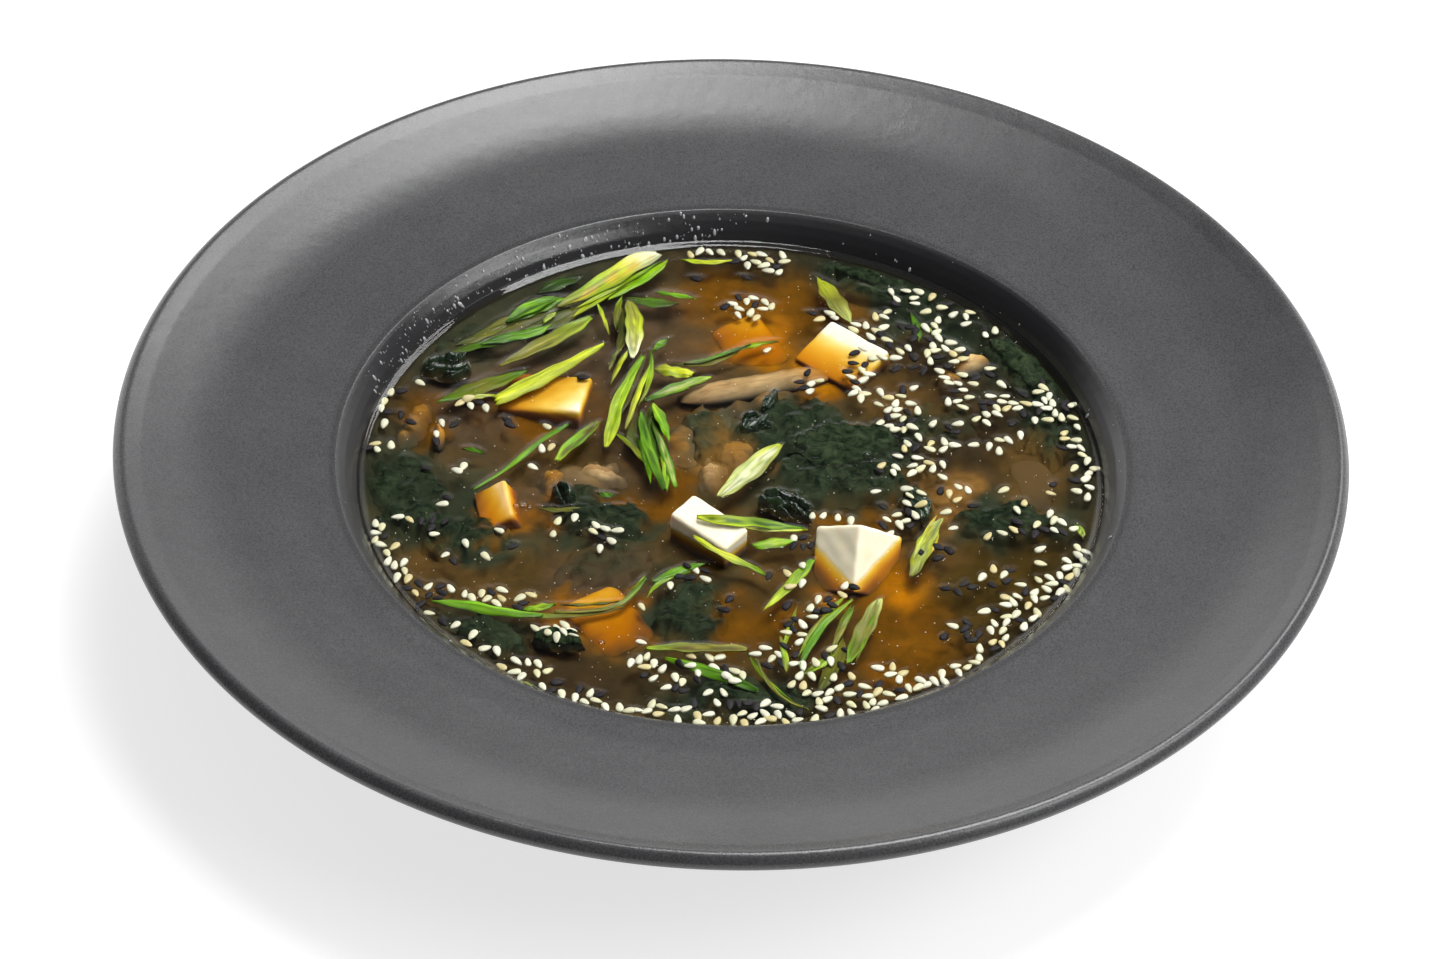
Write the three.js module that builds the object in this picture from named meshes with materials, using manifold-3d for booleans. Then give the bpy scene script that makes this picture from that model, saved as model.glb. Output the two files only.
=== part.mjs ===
// Miso soup in a wide-rimmed stoneware soup plate: soup with tofu, wakame, mushroom,
// sliced spring onion and white and black sesame seeds. Units are millimetres, +Z is up,
// and the origin is the centre of the flat foot that the plate rests on.
import * as THREE from 'three';
import Module from 'manifold-3d';
import { mergeVertices } from 'three/addons/utils/BufferGeometryUtils.js';

// ---- driving dimensions ----------------------------------------------------------
const GAP = 0.3;                // clearance between pieces that touch
const TURN_STEPS = 60;          // straight sides in one turn of the plate and the soup

const LIP_RADIUS = 145;         // outermost radius of the plate
const LIP_HEIGHT = 48;          // height of the plate
const LIP_INNER = 139.2;        // where the lip band meets the flange
const WELL_RADIUS = 93.3;       // crisp edge between flange and well
const WELL_HEIGHT = 37.3;
const FLOOR_HEIGHT = 7.5;       // inside of the well, at its middle
const FLOOR_RADIUS = 56;        // where the well's floor starts to rise
const FLOOR_EDGE = 8.2;
const BEND_RADIUS = 79;         // where the floor turns up into the wall
const BEND_HEIGHT = 16.3;
const FOOT_OUTER = 56;
const FOOT_INNER = 48;
const FOOT_RECESS = 2.2;
const SOUP_RADIUS = 87.9;       // where the soup surface meets the wall
const SOUP_LEVEL = 30.5;
const SOUP_INSET = 0.4;         // how far the soup's solid stays inside the wall, measured flat

const LEAF_THICK = 0.9;         // spring onion leaf
const LEAF_CROWN = 0.25;        // how far a wide leaf's middle stands over its edges
const WAKAME_THICK = 0.9;
const MUSHROOM_THICK = 3.2;
const TOFU_ROUND = 1.3;         // worn edge of a tofu block

const SEED_LENGTH = 3.1;
const SEED_WIDTH = 1.95;
const SEED_THICK = 1.0;
const SEED_POINT = 0.5;         // how much narrower one end is than the other
const SEED_SIDES = 6;
const SEED_RINGS = 3;
const SEED_FLOAT = 0.1;         // height of a seed's middle over the soup
const SEED_CLEAR = 1.95;        // seed centre to any other piece
const SEED_SPACING = 2.15;      // seed centre to seed centre

const COLORS = {
  bowl: 0x4c4e51, soup: 0x5a4026, tofu: 0xf2e2bd, wakame: 0x1d2f1f,
  mushroom: 0xb98a4e, onion: 0x9bbf2f,
};

// ---- solids ----------------------------------------------------------------------
const wasm = await Module();
wasm.setup();

function solidFrom(geometry) {
  const bare = geometry.clone();
  bare.deleteAttribute('normal');
  bare.deleteAttribute('uv');
  const merged = mergeVertices(bare, 1e-4);
  const index = merged.index.array;
  const kept = [];
  for (let i = 0; i < index.length; i += 3) {
    const [a, b, c] = [index[i], index[i + 1], index[i + 2]];
    if (a !== b && b !== c && c !== a) kept.push(a, b, c);
  }
  return new wasm.Manifold(new wasm.Mesh({
    numProp: 3,
    vertProperties: new Float32Array(merged.attributes.position.array),
    triVerts: new Uint32Array(kept),
  }));
}

function geometryFrom(solid) {
  const mesh = solid.getMesh();
  const geometry = new THREE.BufferGeometry();
  geometry.setAttribute('position', new THREE.BufferAttribute(new Float32Array(mesh.vertProperties), 3));
  geometry.setIndex(new THREE.BufferAttribute(new Uint32Array(mesh.triVerts), 1));
  geometry.computeVertexNormals();
  return geometry;
}

// Moves every vertex of a geometry to where place(x, y, z) says.
function reshape(geometry, place) {
  const position = geometry.attributes.position;
  for (let i = 0; i < position.count; i++) {
    const p = place(position.getX(i), position.getY(i), position.getZ(i));
    position.setXYZ(i, p.x, p.y, p.z);
  }
  return geometry;
}

function turnedSolid(profile) {
  const points = profile.map(([r, z]) => new THREE.Vector2(r, z));
  return solidFrom(new THREE.LatheGeometry(points, TURN_STEPS).rotateX(Math.PI / 2));
}

// ---- plate and soup --------------------------------------------------------------
function bowlSolid() {
  return turnedSolid([
    [0, FOOT_RECESS], [FOOT_INNER - 2, FOOT_RECESS], [FOOT_INNER, 0], [FOOT_OUTER - 2, 0],
    [FOOT_OUTER, 1.6], [80, 11.6], [91, 24], [98, 32.4], [120, 36.3], [142.2, 43.7],
    [144.6, 45.2], [LIP_RADIUS, 46.4], [143.2, LIP_HEIGHT], [LIP_INNER, 45.9],
    [124, 40.6], [102, 37.8], [WELL_RADIUS, WELL_HEIGHT], [91.8, 36.2],
    [SOUP_RADIUS, SOUP_LEVEL], [BEND_RADIUS, BEND_HEIGHT], [FLOOR_RADIUS, FLOOR_EDGE],
    [0, FLOOR_HEIGHT],
  ]);
}

function soupCore() {
  return turnedSolid([
    [0, FLOOR_HEIGHT + GAP], [FLOOR_RADIUS - SOUP_INSET / 2, FLOOR_EDGE + GAP],
    [BEND_RADIUS - SOUP_INSET / 2, BEND_HEIGHT + GAP], [SOUP_RADIUS - SOUP_INSET, SOUP_LEVEL],
    [0, SOUP_LEVEL],
  ]);
}

// ---- tofu: worn blocks, some standing out of the soup --------------------------------
// size along the block's own axes, place of its middle over the soup level, turns in degrees
const TOFU = {
  tofu_front_right: { size: [16.3, 14, 15.9], at: [29.8, -26.8, -4.3], turn: [-142.5, 38.3, -95.9] },
  tofu_front: { size: [17, 9, 11], at: [-4.9, -21.2, -1.5], turn: [3.6, 5.1, -38.5] },
  tofu_back_right: { size: [18.6, 15, 11], at: [27.1, 47.3, -5.9], turn: [12.9, 0.9, -38.9] },
  tofu_back_left: { size: [20.5, 15, 11], at: [-45, 29.4, -5.5], turn: [-4.2, -6, -10] },
  tofu_left: { size: [12.6, 9, 9], at: [-53.9, -11, -4.2], turn: [-60, 5.4, -77.6] },
};

function blockSolid({ size, at, turn }, grow = 0) {
  const half = new THREE.Vector3(...size).multiplyScalar(0.5).addScalar(grow);
  const inner = half.clone().subScalar(TOFU_ROUND);
  const band = (t, axis) => Math.sign(t) * (Math.abs(t) > 0.9 ? half[axis] : inner[axis]);
  const block = reshape(new THREE.BoxGeometry(2, 2, 2, 3, 3, 3), (x, y, z) => {
    const p = new THREE.Vector3(band(x, 'x'), band(y, 'y'), band(z, 'z'));
    const core = p.clone().clamp(inner.clone().negate(), inner);
    return p.sub(core).setLength(TOFU_ROUND).add(core);
  });
  const radians = turn.map((degrees) => THREE.MathUtils.degToRad(degrees));
  const pose = new THREE.Matrix4().makeRotationFromEuler(new THREE.Euler(...radians, 'ZYX'));
  pose.setPosition(at[0], at[1], SOUP_LEVEL + at[2]);
  return solidFrom(block.applyMatrix4(pose));
}

// ---- wakame and mushroom: wavy pads --------------------------------------------------
// at: middle and height of the underside over the soup; reach: half length and half width
const PADS = {
  wakame_left_back: { at: [-69.5, 37.8, GAP], reach: [6.6, 4.4], turn: 12, rise: 1.9, folds: 5 },
  wakame_lump_left: { at: [-39.3, -8.6, GAP], reach: [3.6, 3.2], turn: 60, rise: 2.3, folds: 3 },
  wakame_lump_front: { at: [13.3, -10, GAP], reach: [7.2, 4.4], turn: -28, rise: 2.2, folds: 3 },
  wakame_lump_back: { at: [5.4, 19, GAP], reach: [4.6, 3.2], turn: 14, rise: 2.3, folds: 3 },
  wakame_curl: { at: [9, 27, GAP], reach: [4.2, 1.6], turn: 70, rise: 1, folds: 2 },
  wakame_leaf: { at: [27, 12, GAP], reach: [13.4, 8.6], turn: 14, rise: 0.9, folds: 7 },
  wakame_right_back: { at: [70.3, 43.5, GAP], reach: [12, 4.2], turn: -57, rise: 0.5, folds: 4 },
  wakame_back: { at: [31, 77, GAP], reach: [7, 2.6], turn: -24, rise: 0.7, folds: 4 },
  wakame_right: { at: [44.4, -8.8, GAP], reach: [6.2, 2.8], turn: -72, rise: 0.8, folds: 3 },
  wakame_front_left: { at: [-38.4, -58.6, GAP], reach: [6, 3], turn: -8, rise: 0.7, folds: 3 },
  mushroom_pale: { at: [-36.6, 1, -3.4], reach: [8.6, 4.8], turn: -22, rise: 0.8, folds: 2 },
  mushroom_right_back: { at: [57.6, 45.6, -2.2], reach: [5.2, 3.4], turn: 22, rise: 1, folds: 2 },
  mushroom_right: { at: [72.5, 4, -3.2], reach: [10.2, 5.6], turn: -80, rise: 0.7, folds: 2 },
};
const padThick = (name) => (name.startsWith('wakame') ? WAKAME_THICK : MUSHROOM_THICK);
const PAD_RAGGED = 0.1;         // unevenness of the outline, as a share of the reach
const PAD_CREASE = 0.28;        // depth of the creases, as a share of the rise

function padSolid(thick, { at, reach, turn, rise, folds }, grow = 0) {
  const [along, across] = reach.map((half) => half + grow);
  const angle = THREE.MathUtils.degToRad(turn);
  const pad = new THREE.BoxGeometry(2, 2, 1, 4, 3, 1);
  return solidFrom(reshape(pad, (u, v, w) => {
    // the square becomes a disc, and the disc an uneven oval
    const [x, y] = [u * Math.sqrt(1 - v * v / 2), v * Math.sqrt(1 - u * u / 2)];
    const theta = Math.atan2(y, x);
    const ragged = 1 + PAD_RAGGED * (Math.sin(3 * theta + folds) - 0.8 * Math.cos(5 * theta + turn));
    const dome = 1 - x * x - y * y;
    const crease = 1 - PAD_CREASE * (1 - Math.cos(folds * (2.2 * x + 0.9 * y) + turn));
    const top = thick + rise * dome * crease + grow;
    return new THREE.Vector3(
      at[0] + ragged * (along * x * Math.cos(angle) - across * y * Math.sin(angle)),
      at[1] + ragged * (along * x * Math.sin(angle) + across * y * Math.cos(angle)),
      SOUP_LEVEL + at[2] + (w > 0 ? top : -grow),
    );
  }));
}

// ---- spring onion: cut leaves ----------------------------------------------------------
// path: points along the middle as [x, y, height of the underside over the soup]
// half: half width where the leaf is widest; wide: how far along that is, from 0 to 1
// ends: width left at the first and last point, as a share of the widest
const LOW = GAP;                // a leaf that lies on the soup
const ONIONS = [
  // back left: a long pale slice with leaves beside and below it
  { path: [[-18.9, 81.4, 1.5], [-26, 75.8, 1.7], [-33.8, 67.6, 1.3], [-44, 60.2, LOW]],
    half: 3, wide: 0.35, ends: [0.4, 0.2] },
  { path: [[-17, 80.4, LOW], [-20.9, 75, LOW], [-25.6, 69.6, LOW], [-31.6, 64, LOW]],
    half: 1.7, wide: 0.3, ends: [0.15, 0.15] },
  { path: [[-56.2, 54.2, LOW], [-51.2, 59.2, LOW], [-47.8, 61.8, LOW], [-44.2, 63.8, LOW]],
    half: 2.2, wide: 0.5, ends: [0.3, 0.3] },
  { path: [[-62, 45.6, LOW], [-54.8, 48.5, LOW], [-49.4, 50.4, LOW], [-45, 53.4, LOW]],
    half: 1.7, wide: 0.5, ends: [0.2, 0.2] },
  { path: [[-57.2, 36.8, LOW], [-49.4, 43.6, LOW], [-41.2, 50.8, LOW], [-35, 57.2, LOW]],
    half: 2.7, wide: 0.66, ends: [0.1, 0.3] },
  { path: [[-34, 62.4, LOW], [-32.4, 57.4, LOW], [-30.6, 50.2, LOW]],
    half: 0.55, wide: 0.4, ends: [0.8, 0.4] },
  { path: [[-19.4, 67.6, LOW], [-14.6, 66.4, LOW], [-9.8, 65.4, LOW]],
    half: 1.3, wide: 0.5, ends: [0.3, 0.15] },
  { path: [[-13.8, 80.8, LOW], [-7.4, 79.8, LOW], [-0.8, 81, LOW]],
    half: 1, wide: 0.5, ends: [0.2, 0.2] },
  { path: [[-26.4, 64, LOW], [-25, 58.2, 0.6], [-24.4, 50, 0.6], [-24.8, 41.4, LOW]],
    half: 2.4, wide: 0.6, ends: [0.3, 0.3] },
  { path: [[-57.6, 23.4, 0.7], [-50, 29.2, 0.9], [-42.5, 36, 0.7], [-31.4, 47, LOW]],
    half: 2.5, wide: 0.2, ends: [0.85, 0.2] },
  { path: [[-30.2, 36.8, LOW], [-29.4, 41, LOW], [-28.3, 45, LOW]],
    half: 0.7, wide: 0.5, ends: [0.3, 0.3] },
  // centre: long leaves that fan out over one another
  { path: [[-29.9, 7.4, LOW], [-28.8, 14.4, LOW], [-28, 22.4, LOW], [-25.6, 32, LOW], [-21.8, 43, LOW]],
    half: 1.8, wide: 0.3, ends: [0.35, 0.25] },
  { path: [[-25.6, 13, 1.5], [-24.1, 20.4, 1.7], [-22.4, 29.2, 1.5], [-20.2, 39.4, LOW]],
    half: 0.8, wide: 0.5, ends: [0.3, 0.3] },
  { path: [[-18.8, 38.2, LOW], [-15.4, 36.9, LOW], [-10, 35.9, LOW]],
    half: 1.9, wide: 0.4, ends: [0.7, 0.8] },
  { path: [[-21.4, 25.2, LOW], [-15.5, 29.3, LOW], [-10.5, 32.4, LOW], [-5.2, 35.2, LOW]],
    half: 1.6, wide: 0.5, ends: [0.2, 0.2] },
  { path: [[-19.2, 23.2, 1.5], [-17.2, 18, 1.7], [-14.8, 9.2, 1.5]],
    half: 1.5, wide: 0.45, ends: [0.3, 0.1] },
  { path: [[-22, 21.8, LOW], [-21, 13.2, LOW], [-18.5, 3.2, LOW], [-15.4, -7.4, LOW]],
    half: 1.4, wide: 0.5, ends: [0.3, 0.4] },
  { path: [[-19.4, 18.6, LOW], [-17, 11, LOW], [-14.8, 2.4, LOW], [-12.8, -6.4, LOW]],
    half: 1.2, wide: 0.55, ends: [0.2, 0.5] },
  { path: [[-12.2, 40, LOW], [-7.6, 41.2, LOW], [-1.5, 44.6, LOW], [4.2, 48.2, LOW]],
    half: 0.6, wide: 0.4, ends: [0.4, 0.2] },
  { path: [[-41.2, 1, 1.6], [-37.8, 7.8, 1.1], [-34.4, 13.2, LOW], [-31.8, 17.8, LOW]],
    half: 2.1, wide: 0.45, ends: [0.5, 0.3] },
  { path: [[-61, -8.8, LOW], [-52.6, -0.2, LOW], [-45.4, 10, LOW], [-38.9, 16.4, LOW]],
    half: 0.85, wide: 0.7, ends: [0.2, 0.6] },
  { path: [[-2.6, -9.2, LOW], [2.6, -2.6, 0.5], [7.6, 4.6, 0.5], [12, 11, LOW]],
    half: 2.8, wide: 0.5, ends: [0.3, 0.15] },
  // front: leaves across the tofu, and short bright ones beside it
  { path: [[-8.4, -26.6, 3.5], [-2.4, -31.2, 2.8], [4, -32.4, LOW], [9, -36.2, LOW]],
    half: 1.3, wide: 0.6, ends: [0.5, 0.15] },
  { path: [[-7.8, -21.6, 5.1], [-0.5, -22.9, 4.8], [5.6, -20.9, 3.2], [11.6, -19.2, LOW], [18, -19.3, LOW]],
    half: 1.6, wide: 0.3, ends: [0.5, 0.2] },
  { path: [[5.6, -26.2, LOW], [10, -25, LOW], [15.6, -23.8, LOW]],
    half: 1.5, wide: 0.4, ends: [0.5, 0.15] },
  { path: [[19.6, -30, LOW], [16.8, -35, LOW], [13, -41.2, LOW], [8.3, -48, LOW]],
    half: 1.5, wide: 0.4, ends: [0.6, 0.1] },
  { path: [[42.7, -35.4, LOW], [44.6, -28.3, LOW], [46.6, -21.3, LOW], [49.8, -14.6, LOW]],
    half: 2.3, wide: 0.45, ends: [0.45, 0.25] },
  // front left: one long leaf in three stretches
  { path: [[-68.2, -47.7, LOW], [-60, -48.9, LOW], [-51.5, -51, LOW], [-42, -51.8, LOW]],
    half: 1.5, wide: 0.4, ends: [0.15, 0.4] },
  { path: [[-40, -50.4, LOW], [-31, -49.8, LOW], [-24.5, -47, LOW], [-20.8, -41.8, LOW], [-19, -37.6, LOW]],
    half: 0.7, wide: 0.5, ends: [0.6, 0.6] },
  { path: [[-17.3, -39.4, LOW], [-12.5, -35.6, LOW], [-5.8, -32.5, LOW]],
    half: 1.4, wide: 0.6, ends: [0.3, 0.2] },
  // front edge: a loose tuft
  { path: [[-18.6, -61.8, LOW], [-11, -61.6, LOW], [-2, -61.5, LOW], [5, -61.3, LOW]],
    half: 2, wide: 0.4, ends: [0.1, 0.5] },
  { path: [[-14.2, -64.8, LOW], [-8, -67.2, LOW], [0, -70.9, LOW], [7.8, -75, LOW]],
    half: 1.5, wide: 0.55, ends: [0.15, 0.4] },
  { path: [[6.8, -64.2, LOW], [8.9, -70.6, LOW], [13, -77, LOW], [18.8, -80.6, LOW]],
    half: 0.5, wide: 0.5, ends: [0.6, 0.4] },
  { path: [[12.1, -56.6, LOW], [13.2, -62.4, LOW], [13.8, -68.6, LOW]],
    half: 0.9, wide: 0.7, ends: [0.2, 0.4] },
  { path: [[29, -43.4, LOW], [23.5, -49.9, LOW], [19.5, -57.8, LOW], [16.5, -67.2, LOW]],
    half: 1.1, wide: 0.6, ends: [0.3, 0.3] },
  { path: [[29, -46, LOW], [26.6, -52.8, LOW], [23.5, -62.2, LOW]],
    half: 0.8, wide: 0.4, ends: [0.3, 0.3] },
  { path: [[35.2, -42.8, LOW], [32.8, -50.3, LOW], [30.2, -57.3, LOW], [27.7, -65.3, LOW]],
    half: 2.1, wide: 0.5, ends: [0.3, 0.35] },
];

// Share of the widest half width at a place along the leaf.
function leafShare(along, { wide, ends }) {
  const end = along < wide ? ends[0] : ends[1];
  const away = along < wide ? (wide - along) / wide : (along - wide) / (1 - wide);
  return end + (1 - end) * Math.cos(away * Math.PI / 2);
}

function leafSolid(leaf, grow = 0) {
  const points = leaf.path.map(([x, y, lift]) => new THREE.Vector3(x, y, SOUP_LEVEL + lift));
  const curve = new THREE.CatmullRomCurve3(points, false, 'centripetal');
  const strip = new THREE.BoxGeometry(1, 2, 1, leaf.path.length + 1, leaf.half > 1 ? 2 : 1, 1);
  return solidFrom(reshape(strip, (u, v, w) => {
    const along = u + 0.5;
    const middle = curve.getPoint(along);
    const forward = curve.getTangent(along).setZ(0).normalize();
    const half = leaf.half * leafShare(along, leaf) + grow;
    const overrun = grow * Math.sign(u) * (Math.abs(u) > 0.49 ? 1 : 0);
    const crown = LEAF_CROWN * (1 - v * v) * Math.min(1, leaf.half);
    return new THREE.Vector3(
      middle.x + forward.x * overrun - forward.y * half * v,
      middle.y + forward.y * overrun + forward.x * half * v,
      middle.z + (w > 0 ? LEAF_THICK + crown + grow : crown * 0.5 - grow),
    );
  }));
}

// ---- sesame seeds: fused to the soup ---------------------------------------------------
// strings lie along the wall: angles in degrees from +X, distance in from the soup's edge
const SEED_STRINGS = [
  { from: 193, to: 238, inset: [2.2, 6], count: 22 },
  { from: 238, to: 262, inset: [2.2, 8], count: 18 },
  { from: 262, to: 296, inset: [2.2, 10], count: 46 },
  { from: 296, to: 318, inset: [2.2, 6], count: 14 },
  { from: 318, to: 344, inset: [2.4, 13], count: 26 },
  { from: 355, to: 385, inset: [2.4, 9], count: 20 },
  { from: 84, to: 98, inset: [3, 9], count: 14 },
  { from: 38, to: 62, inset: [4, 10], count: 12 },
  { from: 150, to: 176, inset: [3, 7], count: 6 },
];
// patches: middle, half lengths, turn in degrees and count
const SEED_PATCHES = [
  { at: [57, 36], reach: [20, 15], turn: -30, count: 54 },
  { at: [38, 24], reach: [7, 10], turn: 30, count: 20 },
  { at: [44, 6], reach: [7, 9], turn: 20, count: 16 },
  { at: [36, 56], reach: [6, 5], turn: -20, count: 9 },
  { at: [47, -12], reach: [14, 8], turn: 0, count: 10 },
  { at: [72, -10], reach: [10, 9], turn: 0, count: 8 },
  { at: [4, 63], reach: [4, 5], turn: 40, count: 10 },
  { at: [7, 78], reach: [6, 6], turn: -40, count: 8 },
  { at: [-62, 23.5], reach: [3.4, 1.6], turn: 10, count: 5 },
  { at: [-52, -46], reach: [11, 3], turn: -6, count: 10 },
  { at: [-33, -24], reach: [10, 10], turn: -30, count: 8 },
  { at: [-62, -26], reach: [14, 9], turn: 0, count: 7 },
  { at: [-12, -40], reach: [14, 8], turn: 20, count: 8 },
  { at: [-10, -70], reach: [13, 6], turn: -15, count: 20 },
  { at: [17, -57], reach: [6, 14], turn: 8, count: 20 },
  { at: [29, -72], reach: [13, 4.5], turn: 22, count: 22 },
  { at: [-60, 4], reach: [20, 12], turn: 0, count: 7 },
];

// The same draws every time: a small generator of numbers from 0 to 1.
function numberStream(seed) {
  let state = seed;
  return () => {
    state = (state + 0x6d2b79f5) | 0;
    let t = Math.imul(state ^ (state >>> 15), 1 | state);
    t = (t + Math.imul(t ^ (t >>> 7), 61 | t)) ^ t;
    return ((t ^ (t >>> 14)) >>> 0) / 4294967296;
  };
}

// Every place where a seed may go, as [x, y, angle]; each takes three draws.
function seedPlaces() {
  const draw = numberStream(17);
  const places = [];
  for (const { from, to, inset, count } of SEED_STRINGS) {
    for (let i = 0; i < count; i++) {
      const turn = THREE.MathUtils.degToRad(from + (to - from) * (i + draw()) / count);
      const radius = SOUP_RADIUS - inset[0] - (inset[1] - inset[0]) * draw() ** 1.6;
      places.push([radius * Math.cos(turn), radius * Math.sin(turn), draw() * Math.PI]);
    }
  }
  for (const { at, reach, turn, count } of SEED_PATCHES) {
    const tilt = THREE.MathUtils.degToRad(turn);
    for (let i = 0; i < count; i++) {
      const radius = Math.sqrt(draw());
      const around = draw() * 2 * Math.PI;
      const [u, v] = [reach[0] * radius * Math.cos(around), reach[1] * radius * Math.sin(around)];
      const x = at[0] + u * Math.cos(tilt) - v * Math.sin(tilt);
      const y = at[1] + u * Math.sin(tilt) + v * Math.cos(tilt);
      places.push([x, y, draw() * Math.PI]);
    }
  }
  return places;
}

// True where every other piece keeps its distance from a seed at x, y.
function clearOf(triangles, x, y) {
  const seed = new THREE.Vector3(x, y, SOUP_LEVEL + SEED_FLOAT);
  const nearest = new THREE.Vector3();
  return triangles.every(
    (triangle) => triangle.closestPointToPoint(seed, nearest).distanceTo(seed) > SEED_CLEAR,
  );
}

function trianglesOf(solid) {
  const { vertProperties: points, triVerts: corners } = solid.getMesh();
  const corner = (i) => new THREE.Vector3().fromArray(points, 3 * corners[i]);
  return Array.from({ length: corners.length / 3 }, (_, i) => (
    new THREE.Triangle(corner(3 * i), corner(3 * i + 1), corner(3 * i + 2))
  ));
}

function chosenSeeds(others) {
  const triangles = others.flatMap(trianglesOf);
  const chosen = [];
  for (const [x, y, angle] of seedPlaces()) {
    const crowded = chosen.some(([a, b]) => Math.hypot(a - x, b - y) < SEED_SPACING);
    const inside = Math.hypot(x, y) < SOUP_RADIUS - SEED_LENGTH / 2 - GAP;
    if (!crowded && inside && clearOf(triangles, x, y)) chosen.push([x, y, angle]);
  }
  return chosen;
}

function seedSolid([x, y, angle]) {
  const seed = new THREE.SphereGeometry(0.5, SEED_SIDES, SEED_RINGS).rotateX(Math.PI / 2);
  reshape(seed, (u, v, w) => new THREE.Vector3(
    SEED_LENGTH * u, SEED_WIDTH * v * (1 - SEED_POINT * u), SEED_THICK * w,
  ));
  seed.rotateZ(angle);
  seed.translate(x, y, SOUP_LEVEL + SEED_FLOAT);
  return solidFrom(seed);
}

// ---- assembly --------------------------------------------------------------------------
const group = new THREE.Group();

function addPiece(name, solid, color, roughness = 0.4) {
  const material = new THREE.MeshStandardMaterial({ color, roughness, metalness: 0 });
  const mesh = new THREE.Mesh(geometryFrom(solid), material);
  mesh.name = name;
  group.add(mesh);
}

const leafNames = ONIONS.map((_, i) => `onion_${String(i + 1).padStart(2, '0')}`);
const leaves = ONIONS.map((leaf) => leafSolid(leaf));
const leafRoom = ONIONS.map((leaf) => leafSolid(leaf, GAP));

const toppings = [];
let pocket = null;
const digPocket = (solid) => {
  pocket = pocket ? pocket.add(solid) : solid;
};

for (const [name, block] of Object.entries(TOFU)) {
  const solid = leafRoom.reduce((rest, room) => rest.subtract(room), blockSolid(block));
  toppings.push(solid);
  addPiece(name, solid, COLORS.tofu, 0.35);
  digPocket(blockSolid(block, GAP));
}
for (const [name, pad] of Object.entries(PADS)) {
  const thick = padThick(name);
  const solid = leafRoom.reduce((rest, room) => rest.subtract(room), padSolid(thick, pad));
  toppings.push(solid);
  addPiece(name, solid, COLORS[name.split('_')[0]], 0.3);
  if (pad.at[2] < 0) digPocket(padSolid(thick, pad, GAP));
}
leaves.forEach((leaf, i) => addPiece(leafNames[i], leaf, COLORS.onion, 0.35));
toppings.push(...leaves);

const seeds = chosenSeeds(toppings).map(seedSolid);
const soup = seeds.reduce((whole, seed) => whole.add(seed), soupCore().subtract(pocket));
addPiece('soup', soup, COLORS.soup, 0.1);
addPiece('bowl', bowlSolid(), COLORS.bowl, 0.55);

export default group;
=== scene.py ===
"""Miso soup in a wide-rimmed stoneware soup plate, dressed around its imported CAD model.

Lengths are in millimetres, and MM turns them into metres. +Z is up, the plate stands on z = 0,
and the viewer of the soup stands on the -Y side. Colours are linear red, green and blue.
"""

import math

import bmesh
import bpy
import numpy as np
from mathutils import Euler, Matrix, Vector
from mathutils.bvhtree import BVHTree


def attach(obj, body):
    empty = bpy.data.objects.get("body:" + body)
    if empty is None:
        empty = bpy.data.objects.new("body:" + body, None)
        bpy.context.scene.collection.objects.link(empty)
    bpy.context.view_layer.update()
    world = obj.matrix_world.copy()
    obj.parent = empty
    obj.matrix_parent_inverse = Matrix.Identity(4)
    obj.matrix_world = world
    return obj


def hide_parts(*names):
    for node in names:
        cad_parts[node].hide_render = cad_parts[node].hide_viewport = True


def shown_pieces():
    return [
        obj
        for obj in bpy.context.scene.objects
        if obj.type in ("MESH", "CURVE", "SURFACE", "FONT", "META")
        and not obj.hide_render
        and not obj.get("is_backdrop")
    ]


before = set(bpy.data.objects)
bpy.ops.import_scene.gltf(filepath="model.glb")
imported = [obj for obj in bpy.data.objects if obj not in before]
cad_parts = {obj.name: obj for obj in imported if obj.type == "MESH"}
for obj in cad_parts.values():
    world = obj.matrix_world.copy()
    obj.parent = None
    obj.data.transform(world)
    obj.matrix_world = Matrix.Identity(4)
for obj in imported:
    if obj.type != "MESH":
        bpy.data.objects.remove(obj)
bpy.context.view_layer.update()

MM = 0.001

# ---- driving dimensions ----------------------------------------------------------------
SOUP_LEVEL = 30.5
SOUP_RADIUS = 87.9              # where the soup surface meets the wall
WELL_EDGE = 93.3                # crisp edge between flange and well
TURN_STEPS = 360                # faces round what a profile turns out

SEED_LENGTH = 3.1
SEED_WIDTH = 1.75
SEED_THICK = 0.8
TOFU_ROUND = 1.1                # rounding of a block's edges

# The wall of the well from the soup upwards: radius and height
WALL = [(SOUP_RADIUS, SOUP_LEVEL), (89.5, 33.5), (91.1, 35.4), (WELL_EDGE, 37.3)]
# The plate's outline from the middle of its underside to the middle of its inside:
# radius, height, and how wide each corner is rounded
PLATE_PROFILE = [
    (0, 2.2, 0), (46, 2.2, 1), (48, 0, 0.6), (54, 0, 0.8), (56, 1.6, 1.5), (80, 11.6, 30),
    (91, 24, 12), (98, 32.4, 6), (120, 36.3, 40), (141.4, 42.9, 2), (144.2, 43.8, 1.2),
    (145, 45.6, 1.6), (143.0, 48.2, 2.6), (138.4, 45.8, 8), (124, 40.6, 60), (102, 37.8, 60),
    (*WALL[3], 0.5), (*WALL[2], 5), (*WALL[1], 5), (*WALL[0], 3),
    (79, 16.3, 20), (56, 8.2, 60), (0, 7.5, 0),
]

# ---- camera: fitted to the rim, with its distance assumed ------------------------------
CAMERA_TARGET = Vector((0, 0, 48))
CAMERA_ELEVATION = math.radians(41.03)
CAMERA_DISTANCE = 1100
CAMERA_SHIFT = (-0.62, -14.77)  # moved along its own right and up
CAMERA_ROLL = math.radians(1.44)
CAMERA_LENS = 115.8             # on a sensor 36 wide


# ---- small tools -----------------------------------------------------------------------
def unit(vector):
    return vector / np.linalg.norm(vector)


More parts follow.
